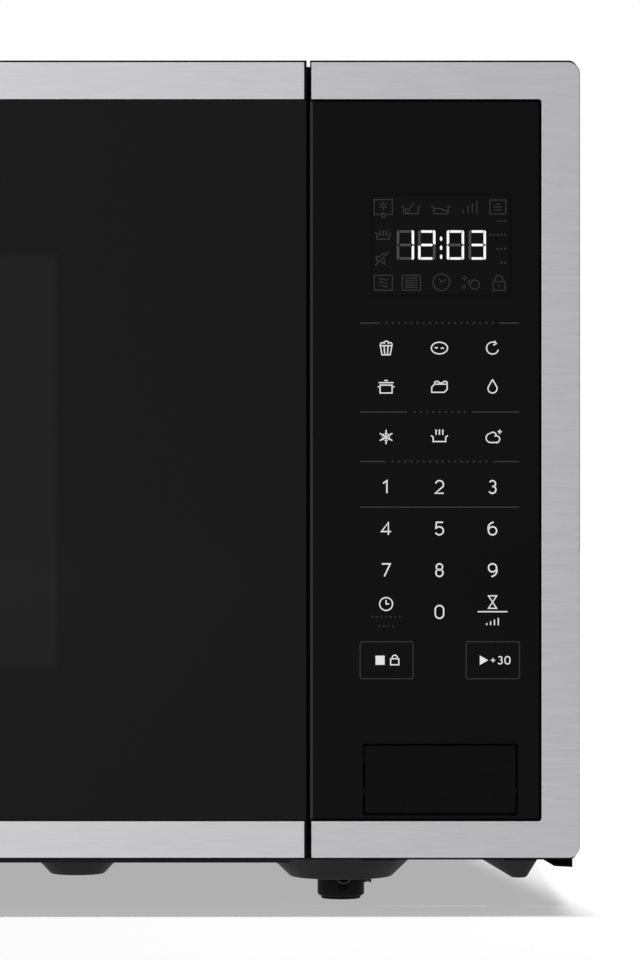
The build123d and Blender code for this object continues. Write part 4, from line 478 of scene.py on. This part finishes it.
# Lamp beside the cavity: a glass bulb in a white moulded socket. It shines in through the small
# holes in the cavity's wall.
bulb_glass = finish("bulb_glass", grey(0.9), grey(0.95), grey(80), 0.06, 0.02,
                    Transmission_Weight=0.95, IOR=1.45)
dress(nylon, "lamp_socket")
dress(bulb_glass, "lamp_bulb")

# Supply filter board: a printed board with a green solder mask, hung under the top of the
# wrapper. It keeps the oven's noise off the supply.
solder_mask = finish("solder_mask", (0.01, 0.09, 0.035), (0.02, 0.15, 0.06), grey(300), 0.3,
                     relief=0.03 * mm, relief_grain=grey(900))
dress(solder_mask, "noise_filter_board")

# Latch: a moulded body behind the front plate catches both hooks of the door. It carries three
# switches and the lever that lifts the hooks.
dress(nylon, "latch_body", "open_lever")
dress(grained_black, "door_switches")

# Wrapper: sheet steel bent over both sides and the top, with louvres cut in its sides. A black powder
# coat covers it, and its rear flange takes the rear panel's screws. Its black is set darker than the
# coat's own, partly as painted shade for the lip under the oven.
# Partly painted shade: the coat's near-zero tone stands for the deep shade on its lip as well as its own
# black.
shaded_powder_coat = finish("shaded_powder_coat", grey(0.0018), grey(0.0030), grey(160), 0.45,
                     relief=0.06 * mm, relief_grain=grey(1100), Specular_IOR_Level=0.08)
dress(shaded_powder_coat, "outer_cabinet")

# Rear panel: zinc-coated sheet, drawn out behind the cavity and cut for the fan and the vents.
# The cord gland is a moulded bush.
dress(zinc_sheet, "rear_panel")
dress(grained_black, "cord_gland")

# Hinges: two thick zinc-plated brackets, screwed on behind the front plate. The door turns on
# their pins.
dress(zinc_screw, "lower_hinge", "upper_hinge")

# Control side, behind its glass: a moulded carrier holds the touch film, the clock display and
# the control board with its two relays.
carrier_black = finish("carrier_black", grey(0.0030), grey(0.0048), grey(260), 0.42,
                       relief=0.03 * mm, relief_grain=grey(1800), Specular_IOR_Level=0.06)
film_clear = finish("film_clear", grey(0.55), grey(0.62), grey(200), 0.15,
                    Transmission_Weight=0.8, IOR=1.5)
dress(carrier_black, "panel_carrier", "power_relays", "display_module")
dress(film_clear, "touch_film")
dress(solder_mask, "control_board")

# Control glass: one black-printed pane over the display and the keys, cut out round the door
# release. The display's window is printed a shade paler, with a soft dark rim round it.
print_spread = 0.06
print_grain = 3.0
pane_roughness, pane_spread = 0.06, 0.015
facing_left = (-0.3, -0.6)


def printed_pane(name, tone, patch_tone, patch_x, patch_z, patch_edge, gloss, left_highlight_tone=None,
                 rim_tone=None):
    """Black-printed glass, with one rectangle of the print in another tone, and maybe a darker rim round
    it. Faces turned to the left may be paler: a painted highlight on the ground edge at its left."""
    material = finish(name, grey(tone * (1 - print_spread)), grey(tone * (1 + print_spread)),
                      grey(print_grain), pane_roughness, pane_spread, Specular_IOR_Level=gloss)
    tree = material.node_tree
    colour = tree.nodes["Principled BSDF"].inputs["Base Color"]

    def worked(operation, first, second=None, fixed=None):
        step = tree.nodes.new("ShaderNodeMath")
        step.operation = operation
        tree.links.new(first, step.inputs[0])
        if second:
            tree.links.new(second, step.inputs[1])
        if fixed is not None:
            step.inputs[1].default_value = fixed
        return step.outputs[0]

    def share_between(value, none_at, all_at, kind):
        ramp = tree.nodes.new("ShaderNodeMapRange")
        ramp.interpolation_type = kind
        ramp.inputs["From Min"].default_value = none_at
        ramp.inputs["From Max"].default_value = all_at
        tree.links.new(value, ramp.inputs["Value"])
        return ramp.outputs["Result"]

    def toned(share, other_tone):
        blend = tree.nodes.new("ShaderNodeMix")
        blend.data_type = "RGBA"
        blend.inputs["B"].default_value = (*grey(other_tone), 1)
        tree.links.new(share, blend.inputs["Factor"])
        tree.links.new(colour.links[0].from_socket, blend.inputs["A"])
        tree.links.new(blend.outputs["Result"], colour)

    axes = tree.nodes.new("ShaderNodeSeparateXYZ")
    tree.links.new(tree.nodes.new("ShaderNodeTexCoord").outputs["Object"], axes.inputs[0])
    reach = []
    for axis, (low, high) in (("X", patch_x), ("Z", patch_z)):
        offset = worked("SUBTRACT", axes.outputs[axis], fixed=(low + high) / 2)
        reach.append(worked("SUBTRACT", worked("ABSOLUTE", offset), fixed=(high - low) / 2))
    outside = worked("MAXIMUM", *reach)
    toned(share_between(outside, patch_edge, -patch_edge, "SMOOTHSTEP"), patch_tone)
    if rim_tone:
        off_rim = worked("ABSOLUTE", outside)
        toned(share_between(off_rim, 2 * patch_edge, 0.0, "SMOOTHSTEP"), rim_tone)
    # Painted highlight: faces turned to the left take a paler tone, as if the ground edge caught the
    # light.
    if left_highlight_tone:
        facing = tree.nodes.new("ShaderNodeSeparateXYZ")
        tree.links.new(tree.nodes.new("ShaderNodeNewGeometry").outputs["Normal"], facing.inputs[0])
        toned(share_between(facing.outputs["X"], *facing_left, "LINEAR"), left_highlight_tone)
    return material


display_x = (219.0 * mm, 276.5 * mm)
display_z = (258.0 * mm, 300.0 * mm)
# The control glass's left ground edge gets a painted highlight.
control_black = printed_pane("control_black", 0.0043, 0.0049, display_x, display_z, 0.6 * mm, 0.04,
                             left_highlight_tone=0.05, rim_tone=0.0022)
dress(control_black, "control_glass")

# Print on the control glass: a thin film of white and grey ink. Plain digits and pictograms mark the
# keys, and rows of dots between rules stand for the headings of the key groups. The white ink has a
# faint glow of its own, a painted brightness.
film = 0.04 * mm
pane_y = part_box("control_glass")[0].y
rule_width = 0.5 * mm
key_x = [224.8 * mm, 247.0 * mm, 269.1 * mm]


def arc(x, z, radius, start, end, steps=14, squeeze=1.0):
    """Points along an arc between two angles in degrees, squeezed in height if wanted."""
    turns = [radians(start + (end - start) * step / steps) for step in range(steps + 1)]
    return [(x + radius * cos(turn), z + radius * squeeze * sin(turn)) for turn in turns]


def wave(x0, x1, z, height, waves, steps=16):
    """Points along a wavy line."""
    shares = [step / steps for step in range(steps + 1)]
    return [(x0 + (x1 - x0) * share, z + height * sin(2 * pi * waves * share)) for share in shares]


def frame_of(x0, z0, x1, z1):
    """Corners of an upright rectangle."""
    return [(x0, z0), (x1, z0), (x1, z1), (x0, z1)]


def line(path, width, closed=False):
    """Four-sided pieces of a line of constant width with mitred corners."""
    points = [Vector(point) for point in path]
    count = len(points)
    sides = []
    for index, point in enumerate(points):
        back = point - points[index - 1] if index or closed else None
        ahead = points[(index + 1) % count] - point if index < count - 1 or closed else None
        back = (back if back is not None else ahead).normalized()
        ahead = (ahead if ahead is not None else back).normalized()
        across = Vector((-(back + ahead).y, (back + ahead).x)).normalized()
        reach = width / 2 / max(0.5, across.dot(Vector((-back.y, back.x))))
        sides.append((point + across * reach, point - across * reach))
    last = count if closed else count - 1
    pieces = []
    for index in range(last):
        here, further = sides[index], sides[(index + 1) % count]
        pieces.append([here[0], here[1], further[1], further[0]])
    return pieces


def disc(x, z, radius):
    """One dot of fifteen corners as an outline."""
    return [arc(x, z, radius, 0, 336, 14)]


def moved(shapes, x, z):
    """The same outlines about another place."""
    return [[(point[0] + x, point[1] + z) for point in shape] for shape in shapes]


def inked(name, shapes, material):
    """Film of ink in flat outlines on the front of the control glass."""
    sheet = bmesh.new()
    for shape in shapes:
        sheet.faces.new([sheet.verts.new((x, pane_y, z)) for x, z in shape])
    grown = bmesh.ops.extrude_face_region(sheet, geom=sheet.faces[:], use_keep_orig=True)
    outer = [item for item in grown["geom"] if isinstance(item, bmesh.types.BMVert)]
    bmesh.ops.translate(sheet, verts=outer, vec=(0, -film, 0))
    fitted(solid_from(name, sheet), material, "cabinet", "printed_glass")


# Painted light: the white ink glows faintly, though it is no lamp.
white_ink_painted_glow = finish("white_ink_painted_glow", grey(0.78), grey(0.84), grey(400), 0.5, Specular_IOR_Level=0.1,
                   Emission_Color=white, Emission_Strength=0.12)
grey_ink = finish("grey_ink", grey(0.036), grey(0.044), grey(400), 0.5, Specular_IOR_Level=0.1)

stroke = 0.5 * mm


def sketch(*strokes, width=stroke, scale=1.0, shift=0.0):
    """Outlines of a mark drawn in millimetres; a stroke is a path, or a path and 'closed'."""
    shapes = []
    for path in strokes:
        closed = path[-1] == "closed"
        points = [((x + shift) * scale * mm, z * scale * mm)
                  for x, z in (path[:-1] if closed else path)]
        shapes += line(points, width, closed)
    return shapes


def ring(x, z, radius, squeeze=1.0):
    """Closed round stroke of eighteen corners."""
    return arc(x, z, radius, 0, 340, 17, squeeze) + ["closed"]


digit_paths = {
    "0": [arc(0, 0.9, 1.75, 0, 180) + arc(0, -0.9, 1.75, 180, 360) + ["closed"]],
    "1": [[(-1.25, 1.5), (0.35, 2.62), (0.35, -2.62)]],
    "2": [arc(0.02, 1.0, 1.65, 165, -32) + [(-1.7, -2.6), (1.75, -2.6)]],
    "3": [arc(-0.05, 1.32, 1.3, 150, -90), arc(-0.1, -1.14, 1.5, 90, -152)],
    "4": [[(0.95, -2.62), (0.95, 2.5), (-1.95, -1.25), (2.05, -1.25)]],
    "5": [[(1.5, 2.6), (-1.25, 2.6), (-1.45, 0.15)] + arc(-0.05, -0.95, 1.68, 135, -155)],
    "6": [ring(0, -0.95, 1.7), arc(0.72, 0.1, 2.55, 95, 195)],
    "7": [[(-1.75, 2.6), (1.7, 2.6), (-0.75, -2.62)]],
    "8": [ring(0, 1.33, 1.3), ring(0, -1.14, 1.5)],
    "9": [ring(0, 0.95, 1.7), arc(-0.72, -0.1, 2.55, -85, 15)],
    "+": [[(-1.5, 0), (1.5, 0)], [(0, -1.5), (0, 1.5)]],
}


def number(text, x, z, scale=1.0, width=0.6 * mm, advance=4.3):
    """Plain digits in strokes, centred on a place; their full height is 5.9 mm at scale 1."""
    shapes = []
    for index, digit in enumerate(text):
        shift = (index - (len(text) - 1) / 2) * advance
        shapes += moved(sketch(*digit_paths[digit], width=width, scale=scale, shift=shift), x, z)
    return shapes


def star(x, z, radius, arms):
    """Crossing strokes through one point."""
    turns = [pi * arm / arms for arm in range(arms)]
    return [
        [(x - radius * sin(t), z - radius * cos(t)), (x + radius * sin(t), z + radius * cos(t))]
        for t in turns
    ]


def dish(half, depth, lip):
    """Open dish with two handles."""
    left_side = [(-half - lip, 0.6), (-half, 0), (-half, -depth)]
    return left_side + [(-x, z) for x, z in left_side[::-1]]


def steam(foot, rise, twist):
    """Three wavering upright strokes."""
    return [[(x + 0.35 * sin(twist * t), foot + rise * t) for t in range(5)] for x in (-1.4, 0, 1.4)]


def stairs(foot, *places):
    """Upright strokes, each with its place and its height."""
    return [[(x, foot), (x, foot + height)] for x, height in places]


bag = sketch([(-2.4, 1.0), (-1.7, -2.8), (1.7, -2.8), (2.4, 1.0), "closed"],
             [(-0.8, 0.7), (-0.6, -2.5)], [(0.8, 0.7), (0.6, -2.5)],
             arc(-1.5, 1.4, 0.9, 200, 20), arc(0.1, 2.0, 0.9, 170, 10), arc(1.6, 1.4, 0.9, 160, -20))
tuber = sketch(ring(0, 0, 3.4, 0.72), arc(-1.3, 0.6, 0.6, 200, 340, 6),
               arc(1.2, -0.5, 0.6, 20, 160, 6))
again = sketch(arc(0, 0, 2.5, 50, 345, 20), [(0.7, 3.0), (1.6, 1.9), (0.3, 1.2)])
pot = sketch(frame_of(-2.5, -2.5, 2.5, 0.8) + ["closed"], [(-3.1, 1.8), (3.1, 1.8)],
             [(-0.7, 2.7), (0.7, 2.7)], [(-3.5, 0.1), (-2.5, 0.1)], [(2.5, 0.1), (3.5, 0.1)])
block_soft = sketch([(-3.2, -2.2), (2.0, -2.2), (3.2, -1.0), (3.2, 1.2), (-2.0, 1.2), (-3.2, 0.0),
                     "closed"], [(-2.0, 1.2)] + wave(-2.0, 3.2, 2.0, 0.4, 1.5) + [(3.2, 1.2)])
drop = sketch([(0, 3.1), (-1.3, 0.9)] + arc(0, -0.6, 1.9, 160, 380, 14) + [(1.3, 0.9), (0, 3.1)])
frost = sketch(*star(0, 0, 3.0, 3),
               *[arc(0, 0, 1.5, turn + 8, turn + 52, 4) for turn in range(0, 360, 60)])
warm = sketch(dish(2.6, 1.9, 0.9), *steam(0.9, 0.55, 3))
shine = sketch(arc(-0.8, -0.4, 1.9, 90, 270, 8) + [(1.6, -2.3)] + arc(1.6, -0.9, 1.4, -90, 110, 8)
               + arc(0.1, 0.5, 1.5, 20, 150, 8), *star(3.0, 2.2, 0.9, 2))
clock = sketch(ring(0, 0, 2.7), [(0, 1.7), (0, 0), (1.3, 0)])
glass_timer = sketch([(-1.7, 2.6), (1.7, 2.6), (-1.7, -2.6), (1.7, -2.6), "closed"])
levels = sketch(*stairs(-1.5, (-2.4, 0.9), (-0.8, 1.6), (0.8, 2.3), (2.4, 3.0)))
pictogram_rows = [
    (236.1 * mm, (bag, tuber, again)),
    (219.9 * mm, (pot, block_soft, drop)),
    (199.1 * mm, (frost, warm, shine)),
]
clock_z = 129.6 * mm
timer_z = 130.4 * mm
levels_z = 122.3 * mm
zero_z = 126.3 * mm
digit_rows = [(178.3 * mm, "123"), (161.0 * mm, "456"), (143.7 * mm, "789")]
white_shapes = number("0", key_x[1], zero_z)
for z, digits in digit_rows:
    for x, digit in zip(key_x, digits):
        white_shapes += number(digit, x, z)
for z, pictograms in pictogram_rows:
    for x, shapes in zip(key_x, pictograms):
        white_shapes += moved(shapes, x, z)
white_shapes += moved(clock, key_x[0], clock_z)
white_shapes += moved(glass_timer, key_x[2], timer_z)
white_shapes += moved(levels, key_x[2], levels_z)
power_rule_z = 126.4 * mm
power_rule = line([(262.9 * mm, power_rule_z), (275.3 * mm, power_rule_z)], rule_width)
stop_square = [[(x * mm, z * mm) for x, z in frame_of(-4.6, -1.9, -0.8, 1.9)]]
stop_lock = sketch(frame_of(1.7, -1.9, 5.1, 0.6) + ["closed"],
                   [(2.3, 0.6)] + arc(3.4, 1.0, 1.1, 180, 0, 10) + [(4.5, 0.6)])
start_arrow = [[(-5.4 * mm, -2.0 * mm), (-1.9 * mm, 0), (-5.4 * mm, 2.0 * mm)]]
button_row_z = 106.2 * mm
stop_x = 225.0 * mm
start_x = 269.2 * mm
seconds_x = 272.3 * mm
white_shapes += power_rule
white_shapes += moved(stop_square + stop_lock, stop_x, button_row_z)
white_shapes += moved(start_arrow, start_x, button_row_z)
white_shapes += number("+30", seconds_x, button_row_z, scale=0.58, width=0.5 * mm, advance=5.2)
inked("key_marks", white_shapes, white_ink_painted_glow)

# Print in the grey ink: rules and rows of dots in place of headings, and the outlines of the
# two buttons under the digits.
rule_left = 214.0 * mm
rule_right = 280.2 * mm
dot_radius = 0.42 * mm
dot_pitch = 2.6 * mm
small_dot_radius = 0.35 * mm
small_dot_pitch = 1.9 * mm
digit_rule_z = 169.9 * mm
headings = [
    (246.5 * mm, 222.3 * mm, 271.8 * mm),
    (209.5 * mm, 233.6 * mm, 260.6 * mm),
    (188.9 * mm, 224.6 * mm, 269.5 * mm),
]
grey_shapes = line([(rule_left, digit_rule_z), (rule_right, digit_rule_z)], rule_width)
for z, gap_left, gap_right in headings:
    grey_shapes += line([(rule_left, z), (gap_left, z)], rule_width)
    grey_shapes += line([(gap_right, z), (rule_right, z)], rule_width)
    dots = int((gap_right - gap_left - 2 * dot_pitch) / dot_pitch)
    first = (gap_left + gap_right - dots * dot_pitch) / 2
    for index in range(dots + 1):
        grey_shapes += disc(first + index * dot_pitch, z, dot_radius)
for row_z, dots in ((124.3 * mm, 7), (120.3 * mm, 4)):
    for index in range(dots):
        dot_x = key_x[0] + (index - (dots - 1) / 2) * small_dot_pitch
        grey_shapes += disc(dot_x, row_z, small_dot_radius)
button_line = 0.4 * mm
button_corner = 0.8 * mm
low, high = 98.5 * mm, 113.9 * mm
for left, right in ((214.0 * mm, 236.0 * mm), (258.1 * mm, 280.3 * mm)):
    outline = []
    for x, z, start in ((right, high, 0), (left, high, 90), (left, low, 180), (right, low, 270)):
        centre_x = x - button_corner if x == right else x + button_corner
        centre_z = z - button_corner if z == high else z + button_corner
        outline += arc(centre_x, centre_z, button_corner, start, start + 90, 4)
    grey_shapes += line(outline, button_line, closed=True)
inked("key_rules", grey_shapes, grey_ink)

# Clock display behind the pane: four digits of seven bars, a three-part colon between them and
# plain dim symbols round them. Lit bars glow white and the rest show as grey print.
digit_low = 272.9 * mm
digit_high = 285.1 * mm
bar = 1.0 * mm
bar_gap = 0.25 * mm
cut = 0.45 * mm
digit_left = [229.25 * mm, 238.15 * mm, 250.05 * mm, 259.15 * mm]
digit_width = 7.2 * mm
bars_of = {"1": "bc", "2": "abged", "0": "abcdef", "3": "abgcd"}


def digit_bars(left):
    """Outlines of the seven bars of one digit, by their usual letters."""
    right = left + digit_width
    middle = (digit_low + digit_high) / 2
    inner = (left + bar + bar_gap, right - bar - bar_gap)

    def upright(outer, way, end, toward):
        near = middle + toward * bar_gap
        return [
            (outer, end - toward * cut), (outer + way * cut, end), (outer + way * bar, end),
            (outer + way * bar, near + toward * bar / 2), (outer + way * bar / 2, near), (outer, near),
        ]

    flat = [(digit_high - bar, digit_high), (digit_low, digit_low + bar)]
    top, bottom = [frame_of(inner[0], low, inner[1], high) for low, high in flat]
    waist = [
        (inner[0] - bar / 4, middle), (inner[0] + bar / 4, middle + bar / 2),
        (inner[1] - bar / 4, middle + bar / 2), (inner[1] + bar / 4, middle),
        (inner[1] - bar / 4, middle - bar / 2), (inner[0] + bar / 4, middle - bar / 2),
    ]
    return {
        "a": top, "d": bottom, "g": waist,
        "f": upright(left, 1, digit_high, 1), "e": upright(left, 1, digit_low, -1),
        "b": upright(right, -1, digit_high, 1), "c": upright(right, -1, digit_low, -1),
    }


lit_shapes = []
unlit_shapes = []
for left, digit in zip(digit_left, "1203"):
    for letter, shape in digit_bars(left).items():
        (lit_shapes if letter in bars_of[digit] else unlit_shapes).append(shape)
colon_x = 247.7 * mm
colon_half_width, colon_half_height = 0.52 * mm, 0.95 * mm
colon_sides = 12
for z in (281.6 * mm, 277.85 * mm, 274.1 * mm):
    turns = [2 * pi * step / colon_sides for step in range(colon_sides)]
    lit_shapes.append([(colon_x + colon_half_width * cos(turn), z + colon_half_height * sin(turn))
                       for turn in turns])
lit_bars = finish("lit_bars", grey(0.8), grey(0.85), grey(300), 0.5, Specular_IOR_Level=0.1,
                  Emission_Color=white, Emission_Strength=0.35)
unlit_bars = finish("unlit_bars", grey(0.075), grey(0.085), grey(300), 0.5,
                    Specular_IOR_Level=0.1)
inked("display_lit", lit_shapes, lit_bars)
inked("display_unlit", unlit_shapes, unlit_bars)

symbol_stroke = 0.42 * mm


def symbol(x, z, *strokes):
    """Pictogram of the display about its place in millimetres."""
    return moved(sketch(*strokes, width=symbol_stroke), x * mm, z * mm)


plate_frame = frame_of(-3.8, -3.1, 3.8, 3.1) + ["closed"]
symbols = []
symbols += symbol(223.6, 294.8, plate_frame, *star(0, 0.6, 1.9, 3), ring(0, -3.4, 0.9))
symbols += symbol(235.2, 294.6, dish(3.0, 2.6, 0.9), [(-1.0, -1.0), (1.2, 1.9)], ring(-1.5, -1.3, 0.8))
symbols += symbol(247.6, 294.6, dish(3.0, 2.6, 0.9), wave(-3.0, 3.0, -0.9, 0.6, 0.8))
symbols += symbol(259.8, 294.3, *stairs(-2.2, (-2.8, 1.6), (-0.9, 3.2), (0.9, 4.4), (2.7, 5.4)))
symbols += symbol(271.3, 294.8, frame_of(-3.3, -2.9, 3.3, 2.9) + ["closed"],
                  [(-1.7, -1.2), (1.7, -1.2)], [(-1.7, 0.0), (1.7, 0.0)], [(-0.9, 1.2), (0.9, 1.2)])
symbols += symbol(223.6, 283.6, dish(2.6, 2.2, 0.8), *steam(-0.9, 0.6, 2.2))
symbols += symbol(223.2, 273.4, [(-2.4, -0.9), (-2.4, 0.9), (-0.9, 0.9), (0.9, 2.3), (0.9, -2.3),
                                 (-0.9, -0.9), "closed"], [(-3.0, -3.0), (3.0, 2.9)])
symbols += symbol(223.6, 263.3, plate_frame, *[wave(-1.8, 1.8, z, 0.35, 1) for z in (-1.4, 0, 1.4)])
symbols += symbol(235.3, 263.3, plate_frame, *[[(-2.6, z), (2.6, z)] for z in (-2.0, -1.0, 0, 1.0, 2.0)])
symbols += symbol(247.8, 263.5, ring(0, 0, 3.5), [(-0.9, 1.5), (0, 0), (1.9, 1.2)])
symbols += symbol(259.9, 263.4, *star(-2.4, 1.8, 1.1, 2), *star(-2.6, -1.8, 0.9, 2),
                  *star(-0.4, 0.1, 1.1, 2), ring(1.8, -0.9, 1.9))
symbols += symbol(271.8, 262.6, frame_of(-2.4, -2.5, 2.4, 1.2) + ["closed"],
                  [(-1.5, 1.2), (-1.5, 2.2)] + arc(0, 2.2, 1.5, 180, 0, 10) + [(1.5, 1.2)],
                  [(0, -1.2), (0, 0)])
unit_right = 274.3
unit_pitch = 1.5
for z, dots in ((289.0, 3), (283.2, 5), (277.4, 3), (271.6, 2)):
    for index in range(dots):
        symbols += disc((unit_right - unit_pitch * index) * mm, z * mm, dot_radius)
symbol_grey = finish("symbol_grey", grey(0.034), grey(0.042), grey(300), 0.5,
                     Specular_IOR_Level=0.1)
inked("display_symbols", symbols, symbol_grey)

# Steel surrounds of the control side and the door: stainless sheet, brushed along the width of
# the oven before it is bent over the moulded frames.
streaks = (70, 900, 1100)
scratches = (45, 2600, 2600)
scratch_depth = 0.008 * mm


def brushed(name, dark, light):
    """Stainless steel with long fine streaks along the width."""
    return finish(name, dark, light, streaks, 0.31, 0.03, relief=scratch_depth,
                  relief_grain=scratches, metallic=1.0, detail=4.0)


# Painted shade: the control side's steel is the door's steel set a shade darker.
shaded_control_steel = brushed("shaded_control_steel", (0.477, 0.474, 0.488), (0.517, 0.514, 0.528))
dress(shaded_control_steel, "control_bezel")

# Door release: a moulded gloss-black key, flush with the glass. Its return spring and that of
# the hook plate are bright steel wire.
key_black = finish("key_black", grey(0.0034), grey(0.0044), grey(120), 0.16, 0.03,
                   relief=0.01 * mm, relief_grain=grey(600), Specular_IOR_Level=0.035)
spring_wire = finish("spring_wire", grey(0.4), grey(0.52), (300, 300, 300), 0.25, metallic=1.0)
dress(key_black, "release_button")
dress(spring_wire, "hook_spring")

# Return spring of the release: a coil of steel wire between the key and its seat. It is drawn as
# short as a full press makes it, so that the pressed key stays clear of it.
press_room = 6.3 * mm
coil_wire = 0.5 * mm
coil_turns = 7
steps_per_turn = 24
coil_steps = coil_turns * steps_per_turn
wire_corners = 8
coil_low, coil_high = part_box("button_spring")
coil_radius = (coil_high.x - coil_low.x) / 2 - coil_wire
coil_middle = (coil_low + coil_high) / 2
coil_start = coil_low.y + press_room + coil_wire
coil_end = coil_high.y - coil_wire
coil = bmesh.new()
runs = []
for step in range(coil_steps + 1):
    turn = 2 * pi * step / steps_per_turn
    along = coil_start + (coil_end - coil_start) * step / coil_steps
    run = []
    for corner in range(wire_corners):
        across = 2 * pi * corner / wire_corners
        reach = coil_radius + coil_wire * cos(across)
        run.append(coil.verts.new((coil_middle.x + reach * cos(turn), along + coil_wire * sin(across),
                                   coil_middle.z + reach * sin(turn))))
    runs.append(run)
skin(coil, runs)
release_spring = solid_from("release_spring", coil)
fitted(release_spring, spring_wire, "cabinet", "spring_steel", "button_spring")

# Door: a moulded black frame carries the pressed inner panel, the screen, the clear inner sheet
# and the ring over the choke. The hook plate slides on two pins against its spring.
door_enamel = finish("door_enamel", grey(0.012), grey(0.018), grey(140), 0.4,
                     relief=0.04 * mm, relief_grain=grey(900), Specular_IOR_Level=0.3)
clear_sheet = finish("clear_sheet", grey(0.86), grey(0.9), grey(60), 0.04, 0.015,
                     Transmission_Weight=0.97, IOR=1.5)
dress(carrier_black, "door_frame")
dress(grained_black, "choke_cover")
dress(door_enamel, "door_inner_panel")
dress(clear_sheet, "inner_window")
dress(nylon, "latch_hook")
dress(zinc_screw, "hook_pins")

# Window screen: thin enamelled steel, pierced all over with small round holes that hold the
# microwaves back and still let the eye through.
hole_pitch = 3.2 * mm
hole_radius = 1.15 * mm
screen_border = 5.0 * mm
hole_sides = 8


def pierced_sheet(name, low, high, border, pitch, radius):
    """Flat sheet with a square field of holes inside a plain border."""
    sheet = bmesh.new()
    across = int((high.x - low.x - 2 * border) / pitch)
    upward = int((high.z - low.z - 2 * border) / pitch)
    start_x = (low.x + high.x - across * pitch) / 2
    start_z = (low.z + high.z - upward * pitch) / 2
    grid = {}

    def corner(x, z):
        spot = (round(x / mm, 3), round(z / mm, 3))
        if spot not in grid:
            grid[spot] = sheet.verts.new((x, low.y, z))
        return grid[spot]

    turns = [2 * pi * (step + 0.5) / hole_sides for step in range(hole_sides)]
    for column in range(across):
        for row in range(upward):
            x = start_x + column * pitch
            z = start_z + row * pitch
            rim = [(x + pitch * a, z + pitch * b) for a, b in
                   ((1, 0.5), (1, 1), (0.5, 1), (0, 1), (0, 0.5), (0, 0), (0.5, 0), (1, 0))]
            outer = [corner(*spot) for spot in rim]
            hole = [sheet.verts.new((x + pitch / 2 + radius * cos(turn), low.y,
                                     z + pitch / 2 + radius * sin(turn))) for turn in turns]
            for step in range(hole_sides):
                further = (step + 1) % hole_sides
                sheet.faces.new((outer[step], outer[further], hole[step], hole[step - 1]))
    end_x = start_x + across * pitch
    end_z = start_z + upward * pitch
    left_edge = [corner(start_x, start_z + row * pitch / 2) for row in range(2 * upward + 1)]
    right_edge = [corner(end_x, start_z + row * pitch / 2) for row in range(2 * upward + 1)]
    bottom_edge = [corner(start_x + column * pitch / 2, start_z) for column in range(2 * across + 1)]
    top_edge = [corner(start_x + column * pitch / 2, end_z) for column in range(2 * across + 1)]
    corners = [sheet.verts.new((x, low.y, z)) for x, z in
               ((low.x, low.z), (high.x, low.z), (high.x, high.z), (low.x, high.z))]
    sheet.faces.new([corners[0], corners[1]] + bottom_edge[::-1])
    sheet.faces.new([corners[1], corners[2]] + right_edge[::-1])
    sheet.faces.new([corners[2], corners[3]] + top_edge)
    sheet.faces.new([corners[3], corners[0]] + left_edge)
    grown = bmesh.ops.extrude_face_region(sheet, geom=sheet.faces[:], use_keep_orig=True)
    rear = [item for item in grown["geom"] if isinstance(item, bmesh.types.BMVert)]
    bmesh.ops.translate(sheet, verts=rear, vec=(0, high.y - low.y, 0))
    return solid_from(name, sheet)


screen = pierced_sheet("window_screen", *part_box("window_mesh"), screen_border, hole_pitch,
                       hole_radius)
fitted(screen, door_enamel, "door", "black_enamel", "window_mesh")

# Door glass: one black-printed pane over the whole door. Its window is printed more thinly, so
# the screen behind makes it a shade lighter.
window_x = (-185.1 * mm, 87.4 * mm)
window_z = (103.9 * mm, 275.0 * mm)
door_black = printed_pane("door_black", 0.0057, 0.0111, window_x, window_z, 1.6 * mm, 0.075)
dress(door_black, "door_glass")
door_steel = brushed("door_steel", (0.504, 0.501, 0.515), (0.544, 0.541, 0.555))
dress(door_steel, "door_trim")
